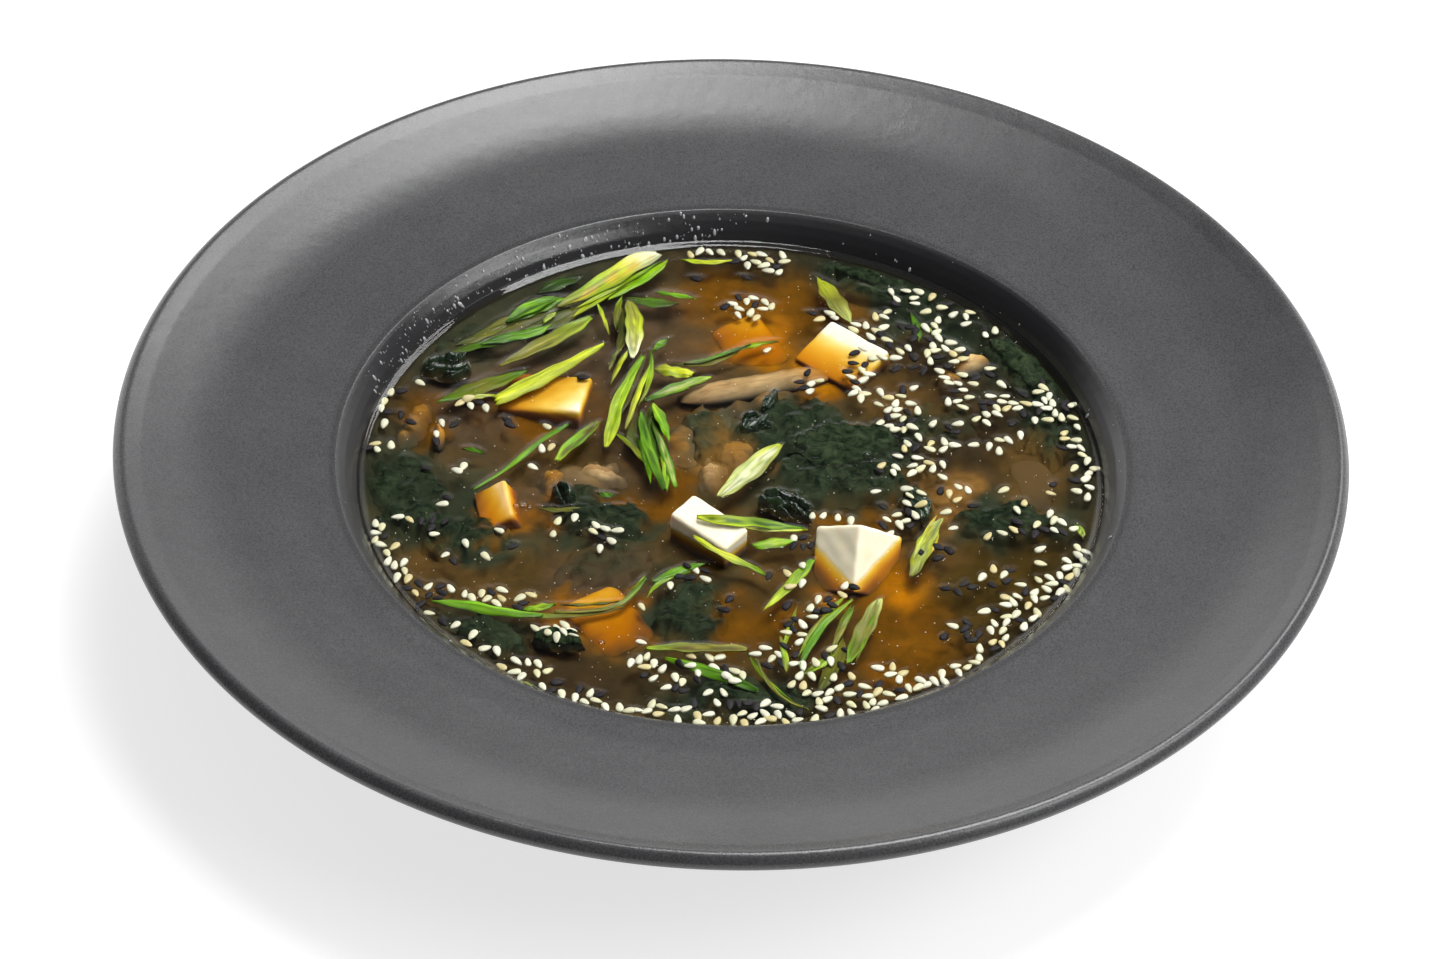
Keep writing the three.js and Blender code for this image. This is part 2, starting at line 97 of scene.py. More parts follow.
def smooth_step(low, high, x):
    t = np.clip((x - low) / (high - low), 0, 1)
    return t * t * (3 - 2 * t)


def oval_reach(dx, dy, reach, width, turn):
    """How far out in a turned oval a place dx, dy from its middle lies: 1 is the edge."""
    angle = math.radians(turn)
    u = (dx * math.cos(angle) + dy * math.sin(angle)) / reach
    v = (dy * math.cos(angle) - dx * math.sin(angle)) / width
    return np.hypot(u, v)


def cloud(x, y, scale, seed):
    """Smooth noise from about -1 to 1: sines that run in random directions."""
    draw = np.random.default_rng(seed)
    total = np.zeros_like(np.asarray(x, float))
    for _ in range(9):
        turn, shift = draw.uniform(0, 2 * math.pi, 2)
        rate = draw.uniform(0.6, 2.0) * 2 * math.pi / scale
        total += np.sin(rate * (x * math.cos(turn) + y * math.sin(turn)) + shift)
    return total / 4.5


def new_mesh(name, points, faces):
    """A mesh of points in millimetres, with its faces turned outwards."""
    mesh = bpy.data.meshes.new(name)
    mesh.from_pydata((np.asarray(points, float) * MM).tolist(), [], faces)
    work = bmesh.new()
    work.from_mesh(mesh)
    bmesh.ops.recalc_face_normals(work, faces=work.faces)
    work.to_mesh(mesh)
    work.free()
    mesh.shade_smooth()
    return mesh


def mesh_points(mesh):
    """The corners of a mesh, in millimetres."""
    points = np.empty(len(mesh.vertices) * 3)
    mesh.vertices.foreach_get("co", points)
    return points.reshape(-1, 3) / MM


def add_layer(mesh, name, values):
    """Keeps three numbers at each corner of a mesh for its material to read."""
    layer = mesh.attributes.new(name, "FLOAT_VECTOR", "POINT")
    layer.data.foreach_set("vector", np.asarray(values, np.float32).ravel())


def add_piece(name, mesh, material, replaces=()):
    """A piece of the object: it rides on the one body, and may stand for CAD nodes."""
    piece = bpy.data.objects.new(name, mesh)
    bpy.context.scene.collection.objects.link(piece)
    mesh.materials.append(material)
    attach(piece, "root")
    if replaces:
        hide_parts(*replaces)


def lathe(profile, steps):
    """Corners and faces of the solid that a profile from axis to axis turns out."""
    rings = np.array(profile[1:-1], float)
    turns = np.arange(steps) * 2 * math.pi / steps
    points = np.stack([
        np.outer(rings[:, 0], np.cos(turns)),
        np.outer(rings[:, 0], np.sin(turns)),
        np.repeat(rings[:, 1:2], steps, axis=1),
    ], axis=-1).reshape(-1, 3)
    index = np.arange(len(points)).reshape(len(rings), steps)
    ahead = np.roll(index, -1, axis=1)
    quads = np.stack([index[:-1], ahead[:-1], ahead[1:], index[1:]], axis=-1).reshape(-1, 4)
    first, last = len(points), len(points) + 1
    points = np.vstack([points, [0, 0, profile[0][1]], [0, 0, profile[-1][1]]])
    faces = quads.tolist()
    faces += [[first, b, a] for a, b in zip(index[0], ahead[0])]
    faces += [[last, a, b] for a, b in zip(index[-1], ahead[-1])]
    return points, faces


def rounded(corners, steps=5):
    """A profile whose corners, given as (radius, height, rounding), are rounded off."""
    points = [np.array(corners[0][:2], float)]
    for before, corner, after in zip(corners, corners[1:], corners[2:]):
        middle = np.array(corner[:2], float)
        back, ahead = np.array(before[:2]) - middle, np.array(after[:2]) - middle
        opening = math.acos(np.clip(unit(back) @ unit(ahead), -1, 1)) / 2
        longest = 0.48 * min(np.linalg.norm(back), np.linalg.norm(ahead))
        reach = min(corner[2] / math.tan(opening), longest)
        start, end = middle + unit(back) * reach, middle + unit(ahead) * reach
        for t in np.linspace(0, 1, steps + 1):
            points.append((1 - t) ** 2 * start + 2 * t * (1 - t) * middle + t * t * end)
    points.append(np.array(corners[-1][:2], float))
    return points


def raised(flat, height):
    """A grid of flat places, each lifted to its height."""
    return np.concatenate([flat, np.broadcast_to(height, flat.shape[:2])[..., None]], axis=-1)


def slab(top, bottom):
    """Corners and faces of the closed solid between two grids of points."""
    rows, columns = top.shape[:2]
    index = np.arange(rows * columns).reshape(rows, columns)
    border = np.concatenate([index[0], index[1:, -1], index[-1, -2::-1], index[-2:0:-1, 0]])
    ahead = np.roll(border, -1)
    count = rows * columns
    grid = np.stack([index[:-1, :-1], index[1:, :-1], index[1:, 1:], index[:-1, 1:]], axis=-1)
    grid = grid.reshape(-1, 4)
    faces = np.vstack([
        grid,
        grid[:, ::-1] + count,
        np.stack([border, ahead, ahead + count, border + count], axis=-1),
    ])
    points = np.vstack([top.reshape(-1, 3), bottom.reshape(-1, 3)])
    return points, faces.tolist()


def joined(name, solids):
    """One mesh of several solids, each given as its corners and faces."""
    points, faces = [], []
    for corners, sides in solids:
        start = sum(len(part) for part in points)
        points.append(corners)
        faces += [[start + i for i in side] for side in sides]
    return new_mesh(name, np.vstack(points), faces)


# ---- materials: nodes ------------------------------------------------------------------
class Nodes:
    """A tree's nodes. Every method adds nodes and returns what they end in."""

    def __init__(self, tree):
        self.tree = tree
        self.tree.nodes.clear()

    def node(self, kind, inputs=(), **settings):
        node = self.tree.nodes.new(kind)
        for key, value in settings.items():
            setattr(node, key, value)
        for key, value in dict(inputs).items():
            if isinstance(value, bpy.types.NodeSocket):
                self.tree.links.new(value, node.inputs[key])
            elif hasattr(value, "__len__") and len(value) == 3 and node.inputs[key].type == "RGBA":
                node.inputs[key].default_value = (*value, 1)
            else:
                node.inputs[key].default_value = value
        return node

    def place(self):
        """The point on the object, in millimetres."""
        point = self.node("ShaderNodeTexCoord").outputs["Object"]
        scale = self.node("ShaderNodeVectorMath", {0: point, "Scale": 1 / MM}, operation="SCALE")
        return scale.outputs[0]

    def layer(self, name):
        return self.node("ShaderNodeAttribute", attribute_name=name).outputs["Vector"]

    def part(self, vector, axis):
        return self.node("ShaderNodeSeparateXYZ", {0: vector}).outputs[axis]

    def stretched(self, vector, factors):
        node = self.node("ShaderNodeVectorMath", {0: vector, 1: factors}, operation="MULTIPLY")
        return node.outputs[0]

    def maths(self, operation, a, b=0.0, clamp=False):
        node = self.node("ShaderNodeMath", {0: a, 1: b}, operation=operation, use_clamp=clamp)
        return node.outputs[0]

    def noise(self, size, vector=None, detail=3.0, roughness=0.55, warp=0.0):
        """Noise from 0 to 1 whose largest features are about size millimetres wide."""
        node = self.node("ShaderNodeTexNoise", {
            "Vector": vector or self.place(), "Scale": 1 / size, "Detail": detail,
            "Roughness": roughness, "Distortion": warp,
        })
        return node.outputs["Fac"]

    def share(self, value, low, high, start=0.0, end=1.0):
        """Maps low..high of a value to start..end, and no further."""
        node = self.node("ShaderNodeMapRange", {
            "Value": value, "From Min": low, "From Max": high, "To Min": start, "To Max": end,
        })
        return node.outputs["Result"]

    def mix(self, share, a, b, blend="MIX"):
        node = self.node("ShaderNodeMix", {0: share, 6: a, 7: b}, data_type="RGBA", blend_type=blend)
        return node.outputs[2]

    def bump(self, height, strength, distance=1.0):
        """Relief: height is from 0 to 1, and distance is how high 1 stands, in millimetres."""
        node = self.node("ShaderNodeBump", {
            "Height": height, "Strength": strength, "Distance": distance * MM,
        })
        return node.outputs["Normal"]

    def veiled(self, colour, murk, kind="Amber"):
        """A colour as it looks through the broth over it: turned to amber, or hazed alone."""
        group = self.node("ShaderNodeGroup", node_tree=broth_veil())
        self.tree.links.new(colour, group.inputs["Colour"])
        self.tree.links.new(murk, group.inputs["Murk"])
        return group.outputs[kind]

    def lifted(self, normal):
        """Turns a sunk surface's normal upwards, as the haze over it is lit from above."""
        height = self.part(self.place(), "Z")
        depth = self.maths("SUBTRACT", SOUP_LEVEL, height)
        share = self.share(depth, 0.2, 2.4, 0.0, 0.9)
        mixed = self.node("ShaderNodeMix", {0: share, 4: normal, 5: (0, 0, 1)}, data_type="VECTOR")
        unit_long = self.node("ShaderNodeVectorMath", {0: mixed.outputs[1]}, operation="NORMALIZE")
        return unit_long.outputs[0]


class Shader(Nodes):
    """The nodes of a new material. Its own two methods return the material."""

    def __init__(self, name):
        self.material = bpy.data.materials.new(name)
        self.material.use_nodes = True
        super().__init__(self.material.node_tree)

    def finish(self, surface):
        output = self.node("ShaderNodeOutputMaterial")
        self.tree.links.new(surface, output.inputs["Surface"])
        return self.material

    def principled(self, **inputs):
        named = {key.replace("_", " "): value for key, value in inputs.items()}
        return self.finish(self.node("ShaderNodeBsdfPrincipled", named).outputs["BSDF"])


# How much of each colour the broth takes away in a millimetre, and the depth at which its
# own haze hides most of what lies in it: pale things show from deeper than dark ones.
BROTH_TAKES = (0.13, 0.54, 2.6)
PALE_HAZE = 2.7
DARK_HAZE = 1.8


def broth_veil():
    """The node group that turns a sunk colour to amber, or only fades it into the murk."""
    if "broth_veil" in bpy.data.node_groups:
        return bpy.data.node_groups["broth_veil"]
    tree = bpy.data.node_groups.new("broth_veil", "ShaderNodeTree")
    tree.interface.new_socket("Colour", in_out="INPUT", socket_type="NodeSocketColor")
    tree.interface.new_socket("Murk", in_out="INPUT", socket_type="NodeSocketColor")
    tree.interface.new_socket("Amber", in_out="OUTPUT", socket_type="NodeSocketColor")
    tree.interface.new_socket("Hazed", in_out="OUTPUT", socket_type="NodeSocketColor")
    maker = Nodes(tree)
    given = maker.node("NodeGroupInput")
    height = maker.part(maker.place(), "Z")
    depth = maker.maths("MAXIMUM", maker.maths("SUBTRACT", SOUP_LEVEL, height), 0.0)
    kept = [maker.maths("EXPONENT", maker.maths("MULTIPLY", depth, -k)) for k in BROTH_TAKES]
    left = maker.node("ShaderNodeCombineColor", {0: kept[0], 1: kept[1], 2: kept[2]})
    tinted = maker.mix(1.0, given.outputs["Colour"], left.outputs[0], "MULTIPLY")
    squared = maker.maths("MULTIPLY", depth, depth)
    pale_clear = maker.maths("EXPONENT", maker.maths("MULTIPLY", squared, -1 / PALE_HAZE ** 2))
    dark_clear = maker.maths("EXPONENT", maker.maths("MULTIPLY", squared, -1 / DARK_HAZE ** 2))
    amber = maker.mix(pale_clear, given.outputs["Murk"], tinted)
    hazed = maker.mix(dark_clear, given.outputs["Murk"], given.outputs["Colour"])
    result = maker.node("NodeGroupOutput")
    tree.links.new(amber, result.inputs["Amber"])
    tree.links.new(hazed, result.inputs["Hazed"])
    return tree


# ---- the murk of the broth -------------------------------------------------------------
MURK = {
    "brown": (0.080, 0.046, 0.011),
    "grey": (0.072, 0.048, 0.024),
    "kelp": (0.022, 0.031, 0.016),
    "moss": (0.064, 0.063, 0.032),
    "olive": (0.046, 0.027, 0.004),
    "amber": (0.260, 0.100, 0.001),
    "rust": (0.110, 0.046, 0.002),
    "gold": (0.170, 0.088, 0.018),
    "umber": (0.038, 0.023, 0.009),
    "ring": (0.020, 0.021, 0.011),
}
# Where the broth shows something of what lies deep in it:
# middle, half length, half width, turn in degrees, tint
MURK_PATCHES = [
    (-45, 30, 42, 42, 0, "grey"), (60, 30, 30, 42, 0, "umber"), (-60, 60, 26, 12, 42, "moss"),
    (-40, 66, 22, 12, 30, "moss"), (-78, -4, 16, 20, 0, "kelp"), (-60, -20, 15, 11, -20, "kelp"),
    (-29, -14, 14, 9, 0, "kelp"), (-30, -32, 14, 8, 0, "grey"), (-9, -46, 10, 15, 0, "kelp"),
    (-50, -58, 18, 7, -30, "kelp"), (20, 12, 28, 22, 14, "kelp"), (66, -11, 18, 9, 0, "kelp"),
    (46, 68, 36, 12, -34, "kelp"), (77, 30, 11, 34, 14, "kelp"), (0, -74, 22, 8, -6, "kelp"),
    (45, -70, 30, 7, 40, "umber"),
    (66, -28, 16, 10, 30, "olive"), (56, -42, 12, 10, 20, "olive"), (50, -2, 6, 12, 0, "gold"),
    (14, 68, 18, 10, -20, "rust"), (-4, 72, 14, 8, 0, "rust"), (6, 54, 11, 8, -10, "amber"),
    (22, 42, 9, 7, 0, "amber"), (-27, -50, 9, 9, 10, "amber"), (34, -34, 11, 8, 10, "amber"),
    (42, -58, 14, 10, 22, "rust"), (38, -46, 8, 8, 0, "rust"), (-62, -35, 20, 7, -6, "brown"),
    (-36, -68, 20, 8, -26, "umber"), (-46, 26, 15, 8, 10, "rust"), (-44, 8, 18, 8, 0, "brown"),
    (40, 34, 12, 9, 0, "brown"), (-12, 6, 7, 20, 6, "rust"), (-5, 17, 7, 10, -20, "moss"),
    (0, 10, 7, 8, 0, "gold"), (-53, -13, 8, 7, 0, "amber"),
    (71, 8, 9, 13, 0, "brown"), (-74, 20, 6, 11, 14, "rust"), (28, -12, 9, 5, 0, "rust"),
    (-18, -9, 9, 6, 0, "rust"), (6, -48, 10, 9, 0, "rust"), (-26, 66, 14, 8, 0, "grey"),
]
MURK_EDGE = 0.6                 # how soft the patches' edges are, as a share of their reach


def murk_at(x, y):
    """The broth's colour at each place."""
    wander_x = x + 5 * cloud(x, y, 26, 1) + 2 * cloud(x, y, 9, 2)
    wander_y = y + 5 * cloud(x, y, 26, 3) + 2 * cloud(x, y, 9, 4)
    colour = np.tile(MURK["brown"], (len(x), 1))
    for middle_x, middle_y, reach, width, turn, tint in MURK_PATCHES:
        away = oval_reach(wander_x - middle_x, wander_y - middle_y, reach, width, turn)
        share = 1 - smooth_step(1 - MURK_EDGE, 1 + MURK_EDGE, away)
        colour += share[:, None] * (np.array(MURK[tint]) - colour)
    ring = 0.65 * smooth_step(79, 86, np.hypot(x, y))
    return colour + ring[:, None] * (np.array(MURK["ring"]) - colour)


def add_murk(mesh):
    """Tells each corner of a sunk mesh the colour of the broth where it is."""
    points = mesh_points(mesh)
    add_layer(mesh, "murk", murk_at(points[:, 0], points[:, 1]))


# ---- plate -----------------------------------------------------------------------------
def stoneware():
    """Charcoal stoneware: a satin glaze with a fine grain, wet and glossier in the well, and a painted
    shade line just outside the well edge.
    """
    s = Shader("charcoal_stoneware")
    place = s.place()
    across = s.node("ShaderNodeVectorMath", {0: s.stretched(place, (1, 1, 0))}, operation="LENGTH")
    radius = across.outputs["Value"]
    inner = s.part(s.layer("inner"), "X")
    wet = s.maths("MULTIPLY", s.share(radius, WELL_EDGE + 0.2, WELL_EDGE - 1.0), inner)
    # painted shade: a thin dark line on the flange just outside the well edge, standing in for the shade
    # where the flange dips to the edge
    painted_seam_shade = s.maths("ABSOLUTE", s.maths("SUBTRACT", radius, WELL_EDGE + 0.9))
    painted_seam_shade = s.share(painted_seam_shade, 0.2, 1.3, 0.55, 0)
    grain = s.noise(0.45, place, detail=3, roughness=0.75)
    mottle = s.noise(16, place, detail=4)
    cast = s.mix(s.share(mottle, 0.3, 0.7), (0.028, 0.028, 0.0295), (0.037, 0.037, 0.0385))
    pale = s.mix(s.share(grain, 0.50, 0.72), cast, (0.058, 0.058, 0.060))
    specked = s.mix(s.share(grain, 0.50, 0.30, 0, 0.8), pale, (0.022, 0.022, 0.024))
    with_seam_shade = s.mix(painted_seam_shade, specked, (0.010, 0.010, 0.011))
    dark = s.mix(s.maths("MULTIPLY", wet, 0.92), with_seam_shade, (0.007, 0.007, 0.008))
    murk = s.node("ShaderNodeRGB")
    murk.outputs[0].default_value = (*MURK["moss"], 1)
    dry_rough = s.share(grain, 0.3, 0.8, 0.23, 0.36)
    rough = s.maths("SUBTRACT", dry_rough, s.maths("MULTIPLY", wet, 0.10))
    base = s.mix(wet, dark, s.veiled(dark, murk.outputs[0]))
    relief = s.maths("ADD", s.maths("MULTIPLY", grain, 0.5), s.noise(3.4, place, detail=3))
    return s.principled(
        Base_Color=base, Roughness=rough, Specular_IOR_Level=0.5,
        Normal=s.bump(relief, 0.5, 0.17),
    )


def build_plate():
    mesh = new_mesh("plate", *lathe(rounded(PLATE_PROFILE), TURN_STEPS))
    normals = np.array([vertex.normal for vertex in mesh.vertices])
    add_layer(mesh, "inner", np.repeat(normals[:, 2:] > 0, 3, axis=1))
    add_piece("plate", mesh, stoneware(), ["bowl"])


# ---- cuts through CAD nodes ------------------------------------------------------------
def long_axis(points):
    """The flat direction in which a node is longest, to the right or away from the viewer."""
    flat = points[:, :2] - points[:, :2].mean(0)
    axis = np.linalg.svd(flat, full_matrices=False)[2][0]
    return axis * np.sign(axis[np.abs(axis).argmax()])


def cuts(node, count):
    """Cuts a node square to its long axis. Each row is one cut: the ends of its outline across,
    its underside and its top, and the first and last cut lie just inside the node's ends."""
    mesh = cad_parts[node].data
    points = mesh_points(mesh)
    axis = long_axis(points)
    side = np.array([-axis[1], axis[0]])
    along, across = points[:, :2] @ axis, points[:, :2] @ side
    edges = np.array([edge.vertices[:] for edge in mesh.edges])
    ends = along[edges]
    inset = 0.02 * np.ptp(along)
    rows = []
    for place in np.linspace(along.min() + inset, along.max() - inset, count):
        hit = (ends.min(1) <= place) & (ends.max(1) > place)
        t = (place - ends[hit, 0]) / (ends[hit, 1] - ends[hit, 0])
        pair = edges[hit]
        wide = across[pair[:, 0]] * (1 - t) + across[pair[:, 1]] * t
        high = points[pair[:, 0], 2] * (1 - t) + points[pair[:, 1], 2] * t
        rows.append([place, wide.min(), wide.max(), high.min(), high.max()])
    rows = np.array(rows)
    for _ in range(2):
        rows[1:-1] = (rows[:-2] + 2 * rows[1:-1] + rows[2:]) / 4
    return axis, side, rows


# ---- spring onion ----------------------------------------------------------------------
GREENS = {
    "white": (0.62, 0.62, 0.43), "pale": (0.38, 0.41, 0.12), "yolk": (0.52, 0.36, 0.04),
    "lemon": (0.37, 0.41, 0.014), "fresh": (0.22, 0.33, 0.008), "bright": (0.120, 0.265, 0.003),
    "mid": (0.066, 0.172, 0.002), "deep": (0.030, 0.084, 0.002), "olive": (0.15, 0.145, 0.016),
    "dull": (0.065, 0.080, 0.014), "dark": (0.014, 0.024, 0.005), "rind": (0.075, 0.050, 0.012),
}
# Tints from the left or near end to the right or far end; how far the middle stands over the
# edges, below 0 for a leaf that is open like a gutter; and the tint down the middle.
LEAF_LOOKS = {
    "onion_01": ("olive fresh lemon white", -0.7, "yolk"), "onion_02": ("fresh bright fresh", 0.5, None),
    "onion_03": ("deep bright mid", -0.5, "deep"), "onion_04": ("deep mid bright", 0.3, None),
    "onion_05": ("olive olive fresh", -0.4, "olive"), "onion_06": ("olive lemon fresh", 0.2, None),
    "onion_07": ("mid bright bright", 0.3, None), "onion_08": ("fresh lemon lemon", 0.3, None),
    "onion_09": ("white lemon olive", -0.6, "olive"), "onion_10": ("lemon lemon lemon", 0.9, None),
    "onion_11": ("olive dull olive", 0.2, None), "onion_12": ("lemon fresh bright", -0.4, "fresh"),
    "onion_13": ("olive lemon fresh", 0.3, None), "onion_14": ("olive lemon lemon", 0.6, None),
    "onion_15": ("deep bright fresh", -0.3, "pale"), "onion_16": ("bright bright fresh", 0.5, None),
    "onion_17": ("deep bright mid", 0.4, "deep"), "onion_18": ("bright mid deep", 0.4, "pale"),
    "onion_19": ("dull mid dull", 0.2, None), "onion_20": ("fresh bright olive", -0.7, "rind"),
    "onion_21": ("mid bright mid", 0.3, None), "onion_22": ("pale pale lemon", -0.5, "white"),
    "onion_23": ("lemon lemon bright", 0.4, None), "onion_24": ("lemon fresh mid", -0.4, "deep"),
    "onion_25": ("bright fresh bright", 0.4, None), "onion_26": ("lemon fresh bright", 0.4, None),
    "onion_27": ("olive lemon pale", -0.5, "pale"), "onion_28": ("mid bright mid", 0.4, None),
    "onion_29": ("olive olive mid", 0.2, None), "onion_30": ("mid bright mid", 0.3, None),
    "onion_31": ("fresh olive olive", -0.5, "rind"), "onion_32": ("bright mid deep", 0.4, None),
    "onion_33": ("olive olive dull", 0.2, None), "onion_34": ("olive fresh olive", 0.3, None),
    "onion_35": ("mid mid fresh", 0.3, None), "onion_36": ("olive olive mid", 0.3, None),
    "onion_37": ("bright olive pale", -0.5, "olive"),
}
# Leaves that the CAD model leaves out. Each has points along its middle, how deep it lies, its
# half width, its tints and its fold.
MORE_LEAVES = [
    ([(-68, 46), (-61, 50.5), (-54.5, 56)], 0.7, 1.3, "dull olive dull", 0.2),
    ([(-70, 42.5), (-62, 46.5), (-52, 49)], 0.8, 1.7, "dull mid dull", 0.2),
    ([(-49, 67), (-44, 71), (-38, 74)], 0.7, 1.9, "dark deep dark", 0.3),
    ([(-56, 54.5), (-50, 60.5), (-42, 64.8)], 0.15, 2.5, "deep mid bright", 0.4),
    ([(-38, 62), (-44, 56.6), (-52, 52.5)], 0.9, 2.0, "olive dull dull", 0.2),
    ([(-19, 79), (-29, 69), (-40, 59)], -0.8, 0.7, "bright fresh lemon", 0.3),
    ([(-22, 76), (-26, 70), (-29, 66)], -0.2, 0.7, "mid fresh lemon", 0.2),
    ([(-21, 78), (-32, 66.5), (-40, 57)], -0.1, 1.5, "olive fresh lemon", 0.2),
    ([(-66, 46), (-55, 55), (-41, 62)], 0.9, 2.3, "dull olive dull", 0.2),
    ([(-28, 62), (-27, 54), (-28.5, 44)], 0.5, 1.6, "olive dull olive", 0.2),
    ([(-28, 66), (-29, 60), (-29, 53)], 0.1, 0.9, "fresh olive dull", 0.2),
    ([(-25, 47), (-27.5, 40), (-29.6, 32)], 0.0, 0.7, "pale lemon olive", 0.2),
    ([(-22.5, 44), (-25, 36), (-29, 27)], 0.1, 0.8, "olive fresh dull", 0.2),
    ([(-20.5, 45), (-20, 36), (-22.6, 24)], -0.3, 0.7, "mid fresh olive", 0.2),
    ([(-19.5, 45), (-17.5, 48), (-16, 49.5)], -0.1, 0.9, "mid bright deep", 0.2),
    ([(-71, 24), (-62, 29.3), (-50.5, 36)], 0.25, 2.5, "mid olive mid", 0.2),
    ([(-64.5, 23.8), (-61, 25.8), (-56.6, 26.2)], -0.1, 0.7, "lemon pale lemon", 0.3),
    ([(-27, 66), (-21, 64.4), (-14, 64.4)], 0.6, 1.6, "dull mid dull", 0.2),
    ([(-15, 40.6), (-7, 41.4), (1, 46)], 0.5, 1.3, "dull olive olive", 0.2),
    ([(-47, 54.6), (-45.6, 57), (-44, 58.8)], -0.1, 1.0, "fresh pale fresh", 0.2),
    ([(-28, 14), (-23.5, 8.5), (-20, 2)], 0.1, 0.7, "fresh olive fresh", 0.2),
    ([(-22.6, 12), (-20.6, 6), (-19, -4)], 0.0, 0.9, "deep mid bright", 0.2),
    ([(-16.6, 10), (-15.6, 3), (-15, -7)], -0.2, 1.0, "mid fresh bright", 0.3),
    ([(-51, -50.4), (-38, -51.2), (-24, -47.8)], 0.1, 0.8, "bright olive olive", 0.2),
    ([(-47, -49.6), (-43.6, -49), (-39.6, -47.6)], -0.2, 1.3, "bright fresh mid", 0.3),
    ([(-24.4, -47.8), (-21.6, -42), (-19.4, -37.4)], 0.0, 0.9, "olive olive fresh", 0.2),
    ([(-18.4, -44), (-16, -39.6), (-9, -35.4)], -0.1, 0.7, "fresh fresh bright", 0.2),
    ([(-38, -47.4), (-31, -47), (-24.6, -45.6)], 0.1, 0.5, "dull olive dull", 0.2),
    ([(-45, -14), (-40, -14.4), (-34, -13)], 0.3, 0.8, "dull olive dull", 0.2),
    ([(5, -62.5), (8.5, -70), (15, -77.5)], -0.1, 0.5, "mid fresh mid", 0.2),
    ([(26.6, -56), (24, -66), (21, -74)], 0.5, 2.1, "olive olive dull", 0.2),
    ([(25.4, -60), (21, -65.4), (17, -69)], 0.2, 1.2, "olive fresh dull", 0.2),
    ([(27.5, -42), (21, -52), (16.4, -63)], -0.2, 0.7, "fresh olive fresh", 0.2),
    ([(16, -46), (14.4, -53), (12.6, -62)], 0.1, 0.6, "olive fresh olive", 0.2),
    ([(28.5, -45), (25.4, -55), (24.4, -62)], 0.1, 0.7, "bright olive olive", 0.2),
    ([(34.4, -45), (31.8, -54), (29.6, -64)], 0.0, 0.8, "mid bright olive", 0.2),
    ([(20.6, 75.5), (23.6, 69), (28.6, 58)], 0.25, 2.7, "lemon olive pale", -0.2),
    ([(-21.5, 44), (-25, 34), (-27, 21)], 0.9, 1.9, "dull rind dull", 0.2),
    ([(-19, 27), (-19, 17), (-17, 5)], 0.7, 2.2, "dull deep mid", 0.2),
    ([(-23, 24), (-23.6, 14), (-21, 5)], 0.8, 1.6, "rind dull deep", 0.2),
    ([(0, 45.6), (5, 48.4), (10.5, 50)], 0.2, 0.9, "olive fresh olive", 0.2),
    ([(2, -19.5), (9.5, -20.6), (18, -20)], -0.5, 0.6, "lemon pale lemon", 0.2),
    ([(48.5, -14), (45.8, -21), (43, -29)], -0.4, 0.7, "yolk lemon pale", 0.2),
    ([(49, -19), (47.6, -24), (44.4, -30)], -0.1, 0.8, "lemon yolk lemon", 0.2),
    ([(43.5, 62), (45, 57), (45.4, 51.5)], 0.1, 1.0, "mid deep bright", 0.2),
    ([(-31, -8.4), (-29.4, -9), (-27.4, -8.8)], 0.0, 0.8, "deep mid deep", 0.2),
    ([(44.5, 57.5), (46.5, 56), (49, 54.5)], -0.2, 0.9, "deep bright olive", 0.3),
    ([(-64, 6.5), (-61.5, 6.2), (-59, 5)], 0.1, 0.7, "deep mid deep", 0.2),
    ([(81, -15.5), (82.4, -17.5), (82.8, -20)], -0.1, 0.8, "mid fresh pale", 0.3),
    ([(-46.5, -73), (-45, -74.4), (-43, -75)], -0.1, 0.9, "deep olive mid", 0.3),
]
LEAF_STEPS = 38                 # along a leaf
LEAF_COLUMNS = 15               # across a leaf
LEAF_THICK = 0.45
LEAF_SINK = 0.45                # how much lower the leaves lie than the CAD solids


def tints_along(tints, names, share):
    """The colour at each share of the way through a row of tints."""
    stops = np.array([tints[name] for name in names.split()])
    places = np.linspace(0, 1, len(stops))
    return np.stack([np.interp(share, places, stops[:, i]) for i in range(3)], axis=-1)


def add_grain(mesh, along, across, seed):
    """Tells both faces of a strip how far along and across it each corner lies."""
    other = np.full(np.broadcast(along, across).shape, 10.0 * seed)
    grain = np.stack(np.broadcast_arrays(along, across, other), axis=-1)
    add_layer(mesh, "grain", np.vstack([grain.reshape(-1, 3)] * 2))


def cut_strip(node):
    """A CAD leaf as a strip: its middle line, the way across it, half widths and underside."""
    axis, side, rows = cuts(node, LEAF_STEPS)
    along, left, right, low = rows[:, :4].T
    spine = along[:, None] * axis + ((left + right) / 2)[:, None] * side
    half = (right - left) / 2
    half = 0.94 * half.max() * (half / half.max()) ** 0.75
    return spine, np.broadcast_to(side, spine.shape), half, low - LEAF_SINK


def path_strip(path, depth, half, tip=0.12, fullness=2.2):
    """A strip along a path: a curve through its points, narrow at both ends."""
    path = np.array(path, float)
    legs = np.linalg.norm(np.diff(path, axis=0), axis=1)
    place = np.concatenate([[0], np.cumsum(legs)]) / legs.sum()
    share = np.linspace(0, 1, LEAF_STEPS)
    spine = np.stack([np.polyval(np.polyfit(place, path[:, i], 2), share) for i in range(2)], axis=-1)
    ahead = np.gradient(spine, axis=0)
    ahead /= np.linalg.norm(ahead, axis=1, keepdims=True)
    side = np.stack([-ahead[:, 1], ahead[:, 0]], axis=-1)
    width = half * (tip + (1 - tip) * (1 - np.abs(2 * share - 1) ** fullness))
    deep = np.interp(share, [0, 1], depth) if np.ndim(depth) else np.full(LEAF_STEPS, depth)
    return spine, side, width, SOUP_LEVEL - deep - LEAF_THICK


